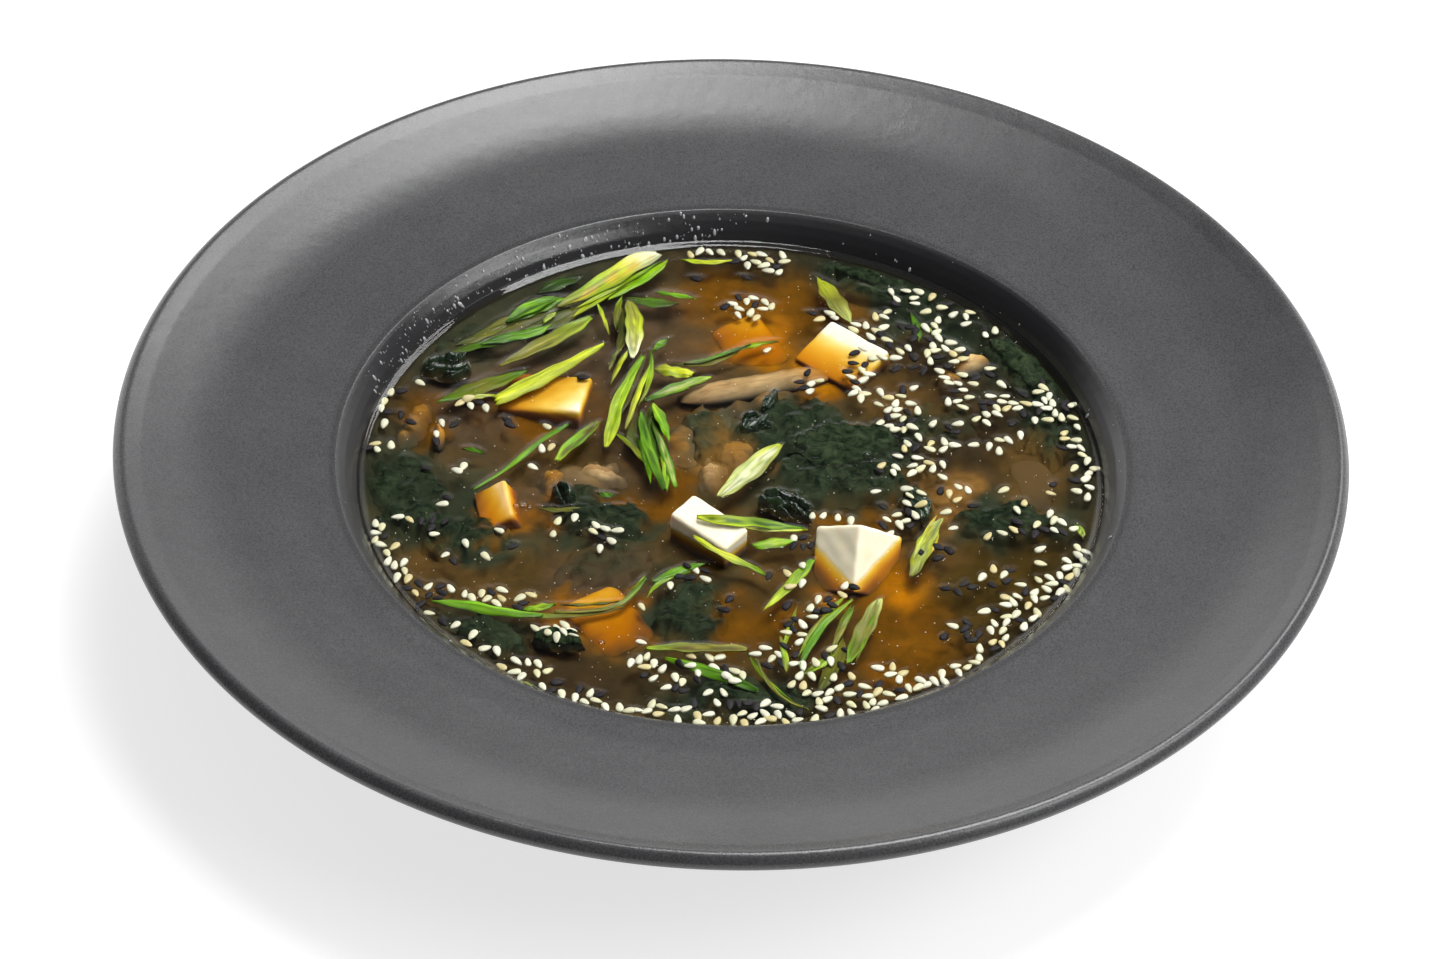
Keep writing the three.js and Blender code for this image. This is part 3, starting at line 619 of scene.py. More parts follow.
def leaf_mesh(name, strip, look, seed):
    """A cut leaf: a thin curved strip with ragged ends, with painted shade that makes one side darker.
    """
    tints, fold, core = look
    draw = np.random.default_rng(seed)
    mesh, along, across, u, v = leaf_shape(name, strip, fold, draw)
    colour = leaf_colour(tints, core, along, across, u, v, seed, draw)
    add_layer(mesh, "tint", np.vstack([colour.reshape(-1, 3)] * 2))
    add_grain(mesh, along, across, seed)
    add_murk(mesh)
    return mesh


def leaf_shape(name, strip, fold, draw):
    """The leaf itself, how far along and across it each place lies, and both as shares."""
    spine, side, half, low = strip
    v = np.sin(np.linspace(-1, 1, LEAF_COLUMNS) * math.pi / 2)[None, :]
    u = np.linspace(0, 1, len(spine))[:, None]
    half, low = half[:, None] * (1 - 0.45 * np.abs(2 * u - 1) ** 6), low[:, None]
    length = np.linalg.norm(spine[-1] - spine[0])
    wavy = 1 + 0.10 * np.sin(u * draw.uniform(12, 22) + draw.uniform(0, 6) + np.sign(v))
    across = half * v * wavy
    near_end = 1 - smooth_step(0, 0.10, np.minimum(u, 1 - u))
    torn = near_end * (draw.uniform(-0.8, 0.8) * v + 0.35 * np.sin(9 * v + draw.uniform(0, 6)))
    along = u * length + torn * np.maximum(half, 0.6)
    ahead = (spine[-1] - spine[0]) / length
    arch = 0.6 * abs(fold) * np.minimum(1.4, half) * ((1 - v * v) if fold > 0 else v * v)
    ripple = 0.12 * np.sin(u * draw.uniform(9, 16) + draw.uniform(0, 6) + 2 * v)
    lean = draw.uniform(-0.25, 0.25) * half * v
    crease = -0.18 * np.exp(-(v / 0.16) ** 2) * (half > 0.9)
    top = low + LEAF_THICK + arch + ripple + lean + crease
    thick = LEAF_THICK * (1 - 0.75 * v ** 4)
    flat = spine[:, None] + across[..., None] * side[:, None] + (along - u * length)[..., None] * ahead
    mesh = new_mesh(name, *slab(raised(flat, top), raised(flat, top - thick)))
    return mesh, along, across, u, v


def leaf_colour(tints, core, along, across, u, v, seed, draw):
    """Tints along the leaf, its inside down the middle, stripes, painted shade across it, and darker
    edges.
    """
    row = tints_along(GREENS, tints, u[:, 0])
    colour = np.broadcast_to(row[:, None], (*across.shape, 3)).copy()
    if core:
        ends = smooth_step(0, 0.15, u) * smooth_step(0, 0.15, 1 - u)
        inside = (1 - smooth_step(0.30, 0.70, np.abs(v))) * ends
        inside = inside * smooth_step(-0.7, 0.3, cloud(along, 4 * across, 9, seed))
        colour += inside[..., None] * (np.array(GREENS[core]) - colour) * 0.85
    for place in draw.uniform(-0.8, 0.8, 5):
        stripe = np.exp(-((v - place - 0.25 * (u - 0.5)) / draw.uniform(0.07, 0.16)) ** 2)
        stripe = stripe * smooth_step(0.0, 0.5, np.sin(u * draw.uniform(3, 8) + draw.uniform(0, 6)))
        colour *= 1 + draw.choice([-0.5, 0.45]) * stripe[..., None]
    # painted shade: one side of each leaf lighter and the other darker, as light falls on a rounded
    # leaf; the edges are darker too
    side_shade_and_dark_edges = 1 + draw.choice([-0.16, 0.16]) * v - 0.35 * smooth_step(0.8, 1, np.abs(v))
    return colour * side_shade_and_dark_edges[..., None]


def leaf_green():
    """Spring onion: fine ribs along the leaf, and darker and paler stretches."""
    s = Shader("spring_onion")
    grain = s.layer("grain")
    ribs = s.noise(0.55, s.stretched(grain, (0.05, 1, 1)), detail=2, roughness=0.6)
    bands = s.noise(1.5, s.stretched(grain, (0.12, 1, 1)), detail=2)
    blotch = s.noise(4.0, s.stretched(grain, (0.7, 1.4, 1)), detail=3)
    tint = s.layer("tint")
    deep = s.mix(1.0, tint, (0.36, 0.48, 0.34), "MULTIPLY")
    light = s.mix(1.0, tint, (1.22, 1.14, 1.3), "MULTIPLY")
    base = s.mix(s.share(ribs, 0.34, 0.52, 0.6, 0), tint, deep)
    base = s.mix(s.share(bands, 0.54, 0.68, 0, 0.7), base, light)
    base = s.mix(s.share(blotch, 0.34, 0.56, 0.45, 0), base, deep)
    return s.principled(
        Base_Color=s.veiled(base, s.layer("murk"), "Hazed"), Roughness=0.34,
        Specular_IOR_Level=0.18,
        Subsurface_Weight=0.2, Subsurface_Radius=(0.6, 0.9, 0.2), Subsurface_Scale=0.7 * MM,
        Normal=s.lifted(s.bump(ribs, 0.5, 0.25)),
    )


def build_leaves():
    material = leaf_green()
    for seed, (node, look) in enumerate(LEAF_LOOKS.items(), start=1):
        mesh = leaf_mesh(node, cut_strip(node), look, seed)
        add_piece(node + "_leaf", mesh, material, [node])
    for seed, (path, depth, half, tints, fold) in enumerate(MORE_LEAVES, start=200):
        name = f"onion_more_{seed - 199:02d}"
        mesh = leaf_mesh(name, path_strip(path, depth, half), (tints, fold, None), seed)
        add_piece(name, mesh, material)


# ---- tofu ------------------------------------------------------------------------------
# size along the block's own axes, middle over the soup level, turns in degrees
TOFU = {
    "tofu_front_right": ((16.3, 14, 15.9), (29.8, -26.8, -4.3), (-142.5, 38.3, -95.9)),
    "tofu_front": ((17, 9, 11), (-4.9, -21.2, -1.5), (3.6, 5.1, -38.5)),
    "tofu_back_right": ((18.6, 15, 11), (27.1, 47.3, -6.1), (12.9, 0.9, -38.9)),
    "tofu_back_left": ((20.5, 15, 11), (-45, 29.4, -6.7), (-4.2, -6, -10)),
    "tofu_left": ((12.6, 9, 9), (-53.9, -11, -5.3), (-60, 5.4, -77.6)),
}
# Blocks that are wholly sunk: a corner of the top face over the soup level, the two edges
# of that face that start there, and the thickness
SUNK_TOFU = {
    "tofu_sunk_back": ((5.5, 64, -0.4), (-13, -7, -1.9), (12, -16, -2.3), 10),
    "tofu_sunk_front": ((-26, -36.5, -0.8), (-13, -9, 0.0), (10, -18, -2.9), 10),
}
SUNK_ROUND = 3.6                # their softened edges
# How fast the broth's tint grows to the right and to the back, and its share in the middle
TOFU_SOAK = {"tofu_left": (0.16, 0.05, 0.60), "tofu_back_left": (-0.05, 0.03, 0.15)}
BLOCK_STEPS = 22                # faces along a block's edge


def block_grid(steps):
    """Corners and faces of a cube from -1 to 1, with more faces towards its edges."""
    work = bmesh.new()
    bmesh.ops.create_cube(work, size=2)
    bmesh.ops.subdivide_edges(work, edges=work.edges, cuts=steps - 1, use_grid_fill=True)
    points = np.array([vertex.co for vertex in work.verts])
    faces = [[vertex.index for vertex in face.verts] for face in work.faces]
    work.free()
    return np.sin(points * math.pi / 2), faces


def tofu_mesh(name, size, matrix, seed, bend=TOFU_ROUND, soak=(0, 0, 0)):
    """A soft block with rounded edges and uneven faces; soak says where the broth tints it."""
    points, faces = block_grid(BLOCK_STEPS)
    half = np.array(size) / 2
    inner = half - bend
    points = points * half
    core = np.clip(points, -inner, inner)
    away = points - core
    length = np.maximum(np.linalg.norm(away, axis=1, keepdims=True), 1e-6)
    normal = away / length
    points = core + normal * bend
    swell = 0.10 * cloud(points[:, 0] + points[:, 2], points[:, 1] - points[:, 2], 7, seed)
    swell += 0.04 * cloud(points[:, 0] - points[:, 2], points[:, 1] + points[:, 2], 1.6, seed + 1)
    points = points + normal * (swell[:, None] - 0.08)
    points = points @ np.array(matrix.to_3x3()).T + np.array(matrix.translation)
    mesh = new_mesh(name, points, faces)
    across = (points - np.array(matrix.translation))[:, :2] @ np.array(soak[:2]) + soak[2]
    add_layer(mesh, "soak", np.repeat(np.clip(across, 0, 1)[:, None], 3, axis=1))
    add_murk(mesh)
    return mesh


def tofu_cream(name, shine):
    """Silken tofu: cream white, faintly porous, soft in the light, amber under the broth."""
    s = Shader(name)
    pores = s.noise(0.5, detail=3, roughness=0.65)
    uneven = s.noise(6, detail=2)
    base = s.mix(s.share(uneven, 0.3, 0.7), (0.71, 0.645, 0.46), (0.75, 0.69, 0.54))
    base = s.mix(s.share(pores, 0.25, 0.45, 0.25, 0), base, (0.70, 0.58, 0.38))
    base = s.mix(s.part(s.layer("soak"), "X"), base, (0.62, 0.36, 0.05))
    return s.principled(
        Base_Color=s.veiled(base, s.layer("murk")), Roughness=0.42, Specular_IOR_Level=shine,
        Subsurface_Weight=0.35, Subsurface_Radius=(1.4, 0.9, 0.5), Subsurface_Scale=1.5 * MM,
        Normal=s.lifted(s.bump(pores, 0.25, 0.15)),
    )


def sunk_block(corner, first, second, thick):
    """The size and the place of a block, from a corner of its top and two edges there."""
    x = Vector(first)
    z = x.cross(Vector(second)).normalized()
    y = z.cross(x).normalized() * Vector(second).length
    middle = Vector(corner) + (x + y) / 2 - z * thick / 2 + Vector((0, 0, SOUP_LEVEL))
    turned = Matrix((x.normalized(), y.normalized(), z)).transposed().to_4x4()
    return (x.length, y.length, thick), Matrix.Translation(middle) @ turned


def build_tofu():
    material, sunk = tofu_cream("tofu", 0.06), tofu_cream("tofu_under_broth", 0.0)
    for seed, (node, (size, middle, turns)) in enumerate(TOFU.items()):
        turn = Euler([math.radians(t) for t in turns], "XYZ").to_matrix().to_4x4()
        shift = Matrix.Translation((middle[0], middle[1], SOUP_LEVEL + middle[2]))
        mesh = tofu_mesh(node, size, shift @ turn, 10 * seed, soak=TOFU_SOAK.get(node, (0, 0, 0)))
        add_piece(node + "_block", mesh, material, [node])
    for seed, (name, block) in enumerate(SUNK_TOFU.items(), start=20):
        mesh = tofu_mesh(name, *sunk_block(*block), 10 * seed, SUNK_ROUND)
        add_piece(name, mesh, sunk)


# ---- wakame and mushroom ---------------------------------------------------------------
PAD_STEPS = 64                  # along a pad
PAD_COLUMNS = 41                # across a pad
# Which way the ridges run in degrees, how far apart they are, how high they stand,
# how crumpled the pad is, and how far it is sunk
WAKAME_LOOKS = {
    "wakame_left_back": (20, 3.0, 1.8, 1.0, 0.7), "wakame_lump_left": (-60, 3.2, 2.0, 0.8, 0.5),
    "wakame_lump_front": (-25, 3.4, 1.8, 0.8, 0.4), "wakame_lump_back": (30, 3.8, 1.9, 0.7, 0.3),
    "wakame_curl": (70, 2.4, 0.6, 0.7, 0.3), "wakame_leaf": (-14, 3.6, 0.35, 0.3, 0.9),
    "wakame_right_back": (-50, 3.4, 0.35, 0.3, 0.8), "wakame_back": (-20, 3.0, 0.35, 0.3, 0.8),
    "wakame_right": (-72, 3.0, 0.3, 0.3, 0.6), "wakame_front_left": (-8, 2.6, 0.4, 0.4, 0.5),
}
# Those that lie flat in the broth, without gloss
WAKAME_FLAT = {"wakame_leaf", "wakame_right_back", "wakame_back", "wakame_front_left"}
PAD_THICK = 0.9                 # where a pad isn't swollen
PAD_SKIRT = 1.8                 # how far the edge of a pad dips
PAD_BASE = 0.3                  # and how much deeper its underside lies
# Sheets that lie wholly in the broth: middle, half length, half width, turn in degrees,
# and how deep the middle lies
WAKAME_SUNK = [
    ((-77, -7), (17, 11), 98, 0.9), ((-62, -22), (12, 8), 8, 1.0), ((-29, -15), (11, 7), -6, 0.8),
    ((-28, -29), (14, 8), 30, 1.8), ((65, -12), (13, 7), 4, 0.9), ((-8, -47), (13, 9), 84, 0.9),
    ((-53, -57), (12, 6), -32, 0.9), ((14, 20), (15, 12), 20, 0.9), ((28, 4), (20, 12), 8, 0.8),
    ((50, 22), (13, 9), 30, 2.0), ((36, 74), (20, 6), -24, 0.9), ((72, 42), (19, 7), -58, 0.9),
    ((77, 20), (12, 7), 80, 1.7), ((-66, 50), (13, 6), 40, 1.8), ((8, -74), (17, 6), -6, 1.1),
    ((44, -9), (5, 8), -10, 1.0), ((-6, 18), (6, 11), 10, 1.8),
    ((-36, -8), (9, 5), 20, 1.9),
]
SHEET_EDGE = 5.6                # how deep a sheet's edge dips
SHEET_STEPS = 44                # corners across a sheet

# How far the mushroom is sunk, and its tints along it
MUSHROOM_LOOKS = {
    "mushroom_pale": (1.0, "tan pale tan"), "mushroom_right_back": (0.6, "golden pale golden"),
    "mushroom_right": (1.7, "umber brown umber"),
}
MUSHROOM = {
    "tan": (0.50, 0.31, 0.10), "brown": (0.16, 0.085, 0.020), "umber": (0.065, 0.036, 0.010),
    "golden": (0.52, 0.26, 0.030), "grey": (0.38, 0.28, 0.15), "pale": (0.64, 0.455, 0.21),
}
# Stems and slices under the surface: points along the middle, how deep the top lies at either
# end, half width, how much deeper the far side lies, and tints
MUSHROOM_SUNK = [
    ([(-13, 30.5), (6, 36.5), (24, 43)], (0.0, 0.8), 4.2, 1.3, "pale pale pale golden"),
    ([(-70.8, 16.5), (-70, 13.5), (-70.6, 9.5)], (-0.4, 0.4), 1.3, 0, "tan golden brown"),
]
# Slices that only glow through the haze: middle, half length, half width, turn in degrees,
# how deep the middle lies, and tint
MUSHROOM_HAZY = [
    ((-76, 19), (12, 3.8), 72, 1.6, "golden"), ((-42.5, -0.5), (5.5, 5), 10, 1.2, "golden"),
    ((-31, 1.5), (8.5, 6), -12, 1.2, "pale"), ((-4.5, 3), (8, 4.2), 88, 1.4, "pale"),
    ((1.5, 11), (6, 7), 0, 1.9, "golden"), ((-12, 14), (12, 5.5), 88, 2.2, "golden"),
    ((53, 41), (6, 4.5), -40, 1.8, "golden"), ((8, 31), (13, 4), 18, 2.0, "golden"),
]
MUSHROOM_THICK = 5.5
LOG_COLUMNS = 21                # across a stem or slice
# A slice is thicker than its CAD solid and hangs into the broth. Where it isn't sunk, its top
# lies this much over the solid's underside, less LEAF_SINK
MUSHROOM_RISE = 2.6


def ridges(x, y, angle, spacing, seed):
    """Ridges with sharp crests, from 0 to 1, that run at an angle and wander."""
    turn = math.radians(angle)
    over = y * math.cos(turn) - x * math.sin(turn)
    over = over + 0.35 * spacing * cloud(x, y, 4 * spacing, seed)
    wave = np.abs(np.sin(over * math.pi / spacing))
    return (1 - wave) ** 0.8


def pad_grid(axis, side, rows):
    """Places over the outline that rows give, and how far each is towards the edge."""
    v = np.linspace(-1, 1, PAD_COLUMNS)[None, :]
    along, left, right, low, high = (rows[:, i:i + 1] for i in range(5))
    across = (left + right) / 2 + v * (right - left) / 2
    flat = along[..., None] * axis + across[..., None] * side
    u = np.linspace(-1, 1, len(rows))[:, None]
    return flat, low, high, u, v


def pad_mesh(node, look, seed):
    """A crumpled pad, no higher and no wider than its CAD node, with a skirt below it."""
    angle, spacing, height, crumple, sink = look
    axis, side, rows = cuts(node, PAD_STEPS)
    flat, low, high, u, v = pad_grid(axis, side, rows)
    x, y = flat[..., 0], flat[..., 1]
    low, high = low - sink, high - sink
    inside = 4 * np.minimum(1 - np.abs(v), 1 - np.abs(u)) + 0.5 * cloud(x, y, 4, seed + 3)
    edge = smooth_step(0, 1, inside)
    swell = (high - low - PAD_THICK) * np.sqrt(np.maximum(1 - v * v, 0)) ** 1.2
    dents = np.clip(1 - crumple * (0.5 + 1.4 * cloud(x, y, 6, seed)), 0.1, 1)
    folds = 1.4 * ridges(x, y, angle, spacing, seed + 1) ** 1.6
    fine = ridges(x, y, angle + 40, spacing / 2, seed + 2) ** 2
    top = low + PAD_THICK + swell * dents - height * (folds + 0.35 * fine)
    top = low - PAD_SKIRT + (top - low + PAD_SKIRT) * edge
    mesh = new_mesh(node, *slab(raised(flat, top), raised(flat, low - PAD_SKIRT - PAD_BASE)))
    add_murk(mesh)
    return mesh


def disc_grid(steps):
    """A square grid squeezed into a disc of radius 1."""
    line = np.linspace(-1, 1, steps)
    u, v = np.meshgrid(line, line, indexing="ij")
    return u * np.sqrt(1 - v * v / 2), v * np.sqrt(1 - u * u / 2)


def sunk_sheet(middle, reach, turn, depth, seed, flat=0.60, crumple=1.0):
    """Corners and faces of a ragged sheet that dips into the murk at its edge."""
    u, v = disc_grid(SHEET_STEPS)
    angle = math.radians(turn)
    x, y = 1.15 * u * reach[0], 1.15 * v * reach[1]
    x, y = x * math.cos(angle) - y * math.sin(angle), x * math.sin(angle) + y * math.cos(angle)
    x, y = x + middle[0], y + middle[1]
    pull = np.minimum(1, (SOUP_RADIUS - 0.6) / np.hypot(x, y))
    x, y = x * pull, y * pull
    ragged = 0.22 * cloud(x, y, 9, seed) + 0.09 * cloud(x, y, 3, seed + 40)
    outwards = 1.15 * np.hypot(u, v) + ragged * smooth_step(1, 0.7, np.hypot(u, v))
    fall = smooth_step(flat, 1.12, outwards)
    fall = np.maximum(fall, smooth_step(0.9, 1.0, np.hypot(u, v)))
    folds = ridges(x, y, turn + 20, 6, seed + 1) + 0.5 * ridges(x, y, turn - 30, 2.6, seed + 2)
    relief = 0.6 * cloud(x, y, 11, seed + 3) + 0.25 * cloud(x, y, 4, seed + 5) + 0.5 * folds
    top = SOUP_LEVEL - depth - (SHEET_EDGE - depth) * fall + crumple * relief
    top = np.minimum(top, SOUP_LEVEL - 0.12)
    grid = np.stack([x, y, top], axis=-1)
    return slab(grid, grid - [0, 0, 0.5])


def wakame_green():
    """Soaked seaweed: almost black green, slippery, with sharp highlights."""
    s = Shader("wakame")
    vein = s.noise(4.0, detail=3, roughness=0.5, warp=0.8)
    base = s.mix(s.share(vein, 0.38, 0.66), (0.003, 0.008, 0.004), (0.016, 0.032, 0.013))
    return s.principled(
        Base_Color=s.veiled(base, s.layer("murk"), "Hazed"), Roughness=0.10,
        Specular_IOR_Level=0.45, Normal=s.bump(vein, 0.1, 0.3),
    )


def wakame_under():
    """Seaweed in the broth: the same green without its gloss."""
    s = Shader("wakame_sunk")
    vein = s.noise(4.0, detail=6, roughness=0.68, warp=1.2)
    base = s.mix(s.share(vein, 0.38, 0.64), (0.005, 0.010, 0.005), (0.034, 0.048, 0.024))
    return s.principled(
        Base_Color=s.veiled(base, s.layer("murk"), "Hazed"), Roughness=0.8,
        Specular_IOR_Level=0.0, Normal=s.lifted(s.bump(vein, 0.9, 1.2)),
    )


def build_wakame():
    glossy, sunk = wakame_green(), wakame_under()
    for seed, (node, look) in enumerate(WAKAME_LOOKS.items(), start=60):
        mesh = pad_mesh(node, look, seed)
        material = sunk if node in WAKAME_FLAT else glossy
        add_piece(node + "_crumpled", mesh, material, [node])
    sheets = []
    for seed, (middle, reach, turn, depth) in enumerate(WAKAME_SUNK, start=80):
        sheets.append(sunk_sheet(middle, reach, turn, depth, seed))
    mesh = joined("wakame_sunk", sheets)
    add_murk(mesh)
    add_piece("wakame_sunk", mesh, sunk)


def mushroom_flesh():
    """Cooked mushroom: soft brown with a darker skin in streaks."""
    s = Shader("mushroom")
    grain = s.layer("grain")
    streak = s.noise(2.4, s.stretched(grain, (0.25, 1, 1)), detail=4, roughness=0.6, warp=0.3)
    tint = s.layer("tint")
    base = s.mix(s.share(streak, 0.36, 0.66), s.mix(1.0, tint, (0.5, 0.42, 0.35), "MULTIPLY"), tint)
    return s.principled(
        Base_Color=s.veiled(base, s.layer("murk"), "Hazed"), Roughness=0.55,
        Specular_IOR_Level=0.1, Subsurface_Weight=0.2, Subsurface_Radius=(1.0, 0.6, 0.3),
        Subsurface_Scale=1.0 * MM, Normal=s.lifted(s.bump(streak, 0.3, 0.3)),
    )


def strip_log(name, strip, tilt, tints, seed):
    """A thick rounded strip, such as a stem or a slice of a cap, lower at its far side by tilt."""
    spine, side, half, low = strip
    half, low = half[:, None], low[:, None]
    v = np.sin(np.linspace(-1, 1, LOG_COLUMNS) * math.pi / 2)[None, :]
    u = np.linspace(0, 1, len(spine))[:, None]
    length = np.linalg.norm(spine[-1] - spine[0])
    flat = spine[:, None] + (half * v)[..., None] * side[:, None]
    bulge = np.sqrt(np.maximum(1 - v * v, 0)) * np.sqrt(np.minimum(1, 5 * np.minimum(u, 1 - u)))
    lumps = 1 + 0.08 * cloud(flat[..., 0], flat[..., 1], 5, seed)
    middle = low + LEAF_THICK - MUSHROOM_THICK / 2 - tilt * (1 + v) / 2
    top = middle + bulge * lumps * MUSHROOM_THICK / 2
    under = middle - bulge * MUSHROOM_THICK / 2 - 0.05
    mesh = new_mesh(name, *slab(raised(flat, top), raised(flat, under)))
    row = tints_along(MUSHROOM, tints, u[:, 0])
    # painted shade: one side of the strip lighter and the other darker, as light falls across a rounded
    # strip
    colour = np.broadcast_to(row[:, None], (*top.shape, 3)) * (1 + 0.2 * v)[..., None]
    add_layer(mesh, "tint", np.vstack([colour.reshape(-1, 3)] * 2))
    add_grain(mesh, u * length, half * v, seed)
    add_murk(mesh)
    return mesh


def hazy_slices():
    """Soft heaps with no edge of their own."""
    sheets, tints = [], []
    for seed, (middle, reach, turn, depth, tint) in enumerate(MUSHROOM_HAZY, start=140):
        sheets.append(sunk_sheet(middle, reach, turn, depth, seed, 0.15, 0.5))
        tints.append(np.tile(MUSHROOM[tint], (len(sheets[-1][0]), 1)))
    mesh = joined("mushroom_hazy", sheets)
    add_layer(mesh, "tint", np.vstack(tints))
    add_layer(mesh, "grain", np.vstack([corners for corners, _ in sheets]))
    add_murk(mesh)
    return mesh


def build_mushrooms():
    material = mushroom_flesh()
    for seed, (node, (sink, tints)) in enumerate(MUSHROOM_LOOKS.items(), start=100):
        spine, side, half, low = cut_strip(node)
        low = low + MUSHROOM_RISE - LEAF_THICK - sink
        mesh = strip_log(node, (spine, side, half, low), 0, tints, seed)
        add_piece(node + "_slice", mesh, material, [node])
    for seed, (path, depth, half, tilt, tints) in enumerate(MUSHROOM_SUNK, start=130):
        name = f"mushroom_sunk_{seed - 129:02d}"
        mesh = strip_log(name, path_strip(path, depth, half, 0.45, 5), tilt, tints, seed)
        add_piece(name, mesh, material)
    add_piece("mushroom_hazy", hazy_slices(), material)


# ---- broth -----------------------------------------------------------------------------
BED_DEPTH = 4.2                 # below this the broth can't be seen into
BED_EDGE = 0.9                  # how deep that is at the wall
BED_RELIEF = 0.7
BED_RINGS = 64
# The underside of the murk, just into the plate: radius and height
BED_UNDERSIDE = [(0, 7.4), (56.2, 8.0), (79.2, 16.3)]
BROTH_LAYER = 9                 # how thick the clear layer is
WALL_BITE = 0.6                 # and how far it reaches into the wall
BROTH_RINGS = 160
BROTH_STEPS = 440
MENISCUS_RISE = 1.0             # how high the broth climbs at the wall
MENISCUS_REACH = 0.9
FLOAT_RISE = 0.30               # and at what floats in it
FLOAT_REACH = 0.6


def broth_liquid():
    """The clear top of the broth: it shows what lies under it, and mirrors the room."""
    s = Shader("broth_surface")
    clear = s.node("ShaderNodeBsdfTransparent", {"Color": (1, 1, 1)})
    gloss = s.node("ShaderNodeBsdfAnisotropic", {"Color": (1, 1, 1), "Roughness": 0.03})
    fresnel = s.node("ShaderNodeFresnel", {"IOR": 1.34})
    mixed = s.node("ShaderNodeMixShader", {
        0: fresnel.outputs[0], 1: clear.outputs[0], 2: gloss.outputs[0],
    })
    return s.finish(mixed.outputs[0])


def broth_murk():
    """The broth where it is too deep to see through: clouds of miso."""
    s = Shader("broth_murk")
    place = s.stretched(s.place(), (1, 1, 0.4))
    billow = s.noise(8, place, detail=5, roughness=0.6, warp=0.4)
    fine = s.noise(1.4, place, detail=3, roughness=0.6)
    murk = s.layer("murk")
    dark = s.mix(1.0, murk, (0.62, 0.66, 0.70), "MULTIPLY")
    light = s.mix(1.0, murk, (1.35, 1.28, 1.25), "MULTIPLY")
    base = s.mix(s.share(billow, 0.32, 0.68), dark, light)
    base = s.mix(s.share(fine, 0.40, 0.7, 0, 0.25), base, light)
    return s.principled(
        Base_Color=base, Roughness=0.9, Specular_IOR_Level=0.0, Subsurface_Weight=1.0,
        Subsurface_Radius=(1.0, 0.9, 0.8), Subsurface_Scale=8 * MM,
    )


def build_broth(floaters):
    """The clear layer, whose surface climbs at the wall and at what floats in it."""
    radius = SOUP_RADIUS + WALL_BITE
    reach = np.linspace(radius, 0, BROTH_RINGS)[:-1]
    profile = [(0, SOUP_LEVEL - BROTH_LAYER), (radius - 6, SOUP_LEVEL - BROTH_LAYER)]
    profile += [(r, SOUP_LEVEL) for r in reach]
    profile.append((0, SOUP_LEVEL))
    points, faces = lathe(profile, BROTH_STEPS)
    surface = points[:, 2] >= SOUP_LEVEL - 1e-6
    from_wall = SOUP_RADIUS - np.hypot(points[:, 0], points[:, 1])
    climb = MENISCUS_RISE * np.exp(-np.maximum(from_wall, 0) / MENISCUS_REACH)
    for i in np.flatnonzero(surface):
        found = floaters.find_nearest(Vector(points[i]), 5 * FLOAT_REACH)
        if found[0] is not None:
            climb[i] = max(climb[i], FLOAT_RISE * math.exp(-found[3] / FLOAT_REACH))
    points[surface, 2] += climb[surface]
    add_piece("broth", new_mesh("broth", points, faces), broth_liquid(), ["soup"])


def bed_depth(radius):
    """How deep one sees into the broth: less and less towards the wall."""
    return BED_EDGE + (BED_DEPTH - BED_EDGE) * smooth_step(0, 9, SOUP_RADIUS - radius)


def build_murk():
    """The murk that fills the well under what can be seen into."""
    reach = np.linspace(SOUP_RADIUS - 0.2, 0, BED_RINGS)
    profile = BED_UNDERSIDE + [(r, SOUP_LEVEL - float(bed_depth(r))) for r in reach]
    points, faces = lathe(profile, TURN_STEPS)
    radius = np.hypot(points[:, 0], points[:, 1])
    bed = points[:, 2] > SOUP_LEVEL - BED_DEPTH - 0.01
    relief = BED_RELIEF * cloud(points[:, 0], points[:, 1], 20, 5)
    points[bed, 2] += (relief * smooth_step(0, 12, SOUP_RADIUS - radius))[bed]
    mesh = new_mesh("broth_deep", points, faces)
    add_murk(mesh)
    add_piece("broth_deep", mesh, broth_murk())


# ---- sesame seeds ----------------------------------------------------------------------
SEED_RINGS = 8
SEED_SIDES = 12
WHITE_TINTS = [
    (0.50, 0.51, 0.37), (0.54, 0.55, 0.44), (0.47, 0.47, 0.31), (0.51, 0.52, 0.41),
    (0.46, 0.45, 0.27), (0.53, 0.54, 0.43), (0.50, 0.51, 0.39), (0.52, 0.53, 0.40),
    (0.44, 0.38, 0.18),
]
BLACK_TINTS = [(0.005, 0.004, 0.005), (0.008, 0.007, 0.008), (0.010, 0.008, 0.008)]
BLACK_SHARE = 0.12              # of the seeds that the CAD soup has
SEED_SPACING = 1.95             # between the middles of seeds that are added here
SEED_REACH = 87.0               # how far from the middle of the soup a seed may lie
SEED_FLOAT = 0.05               # how high a seed's middle stands over what it lies on
SEED_TRIES = 60                 # places tried for each seed that a patch lacks
SEED_SHARE = 0.72               # patches overlap, so each gets this share of its own count
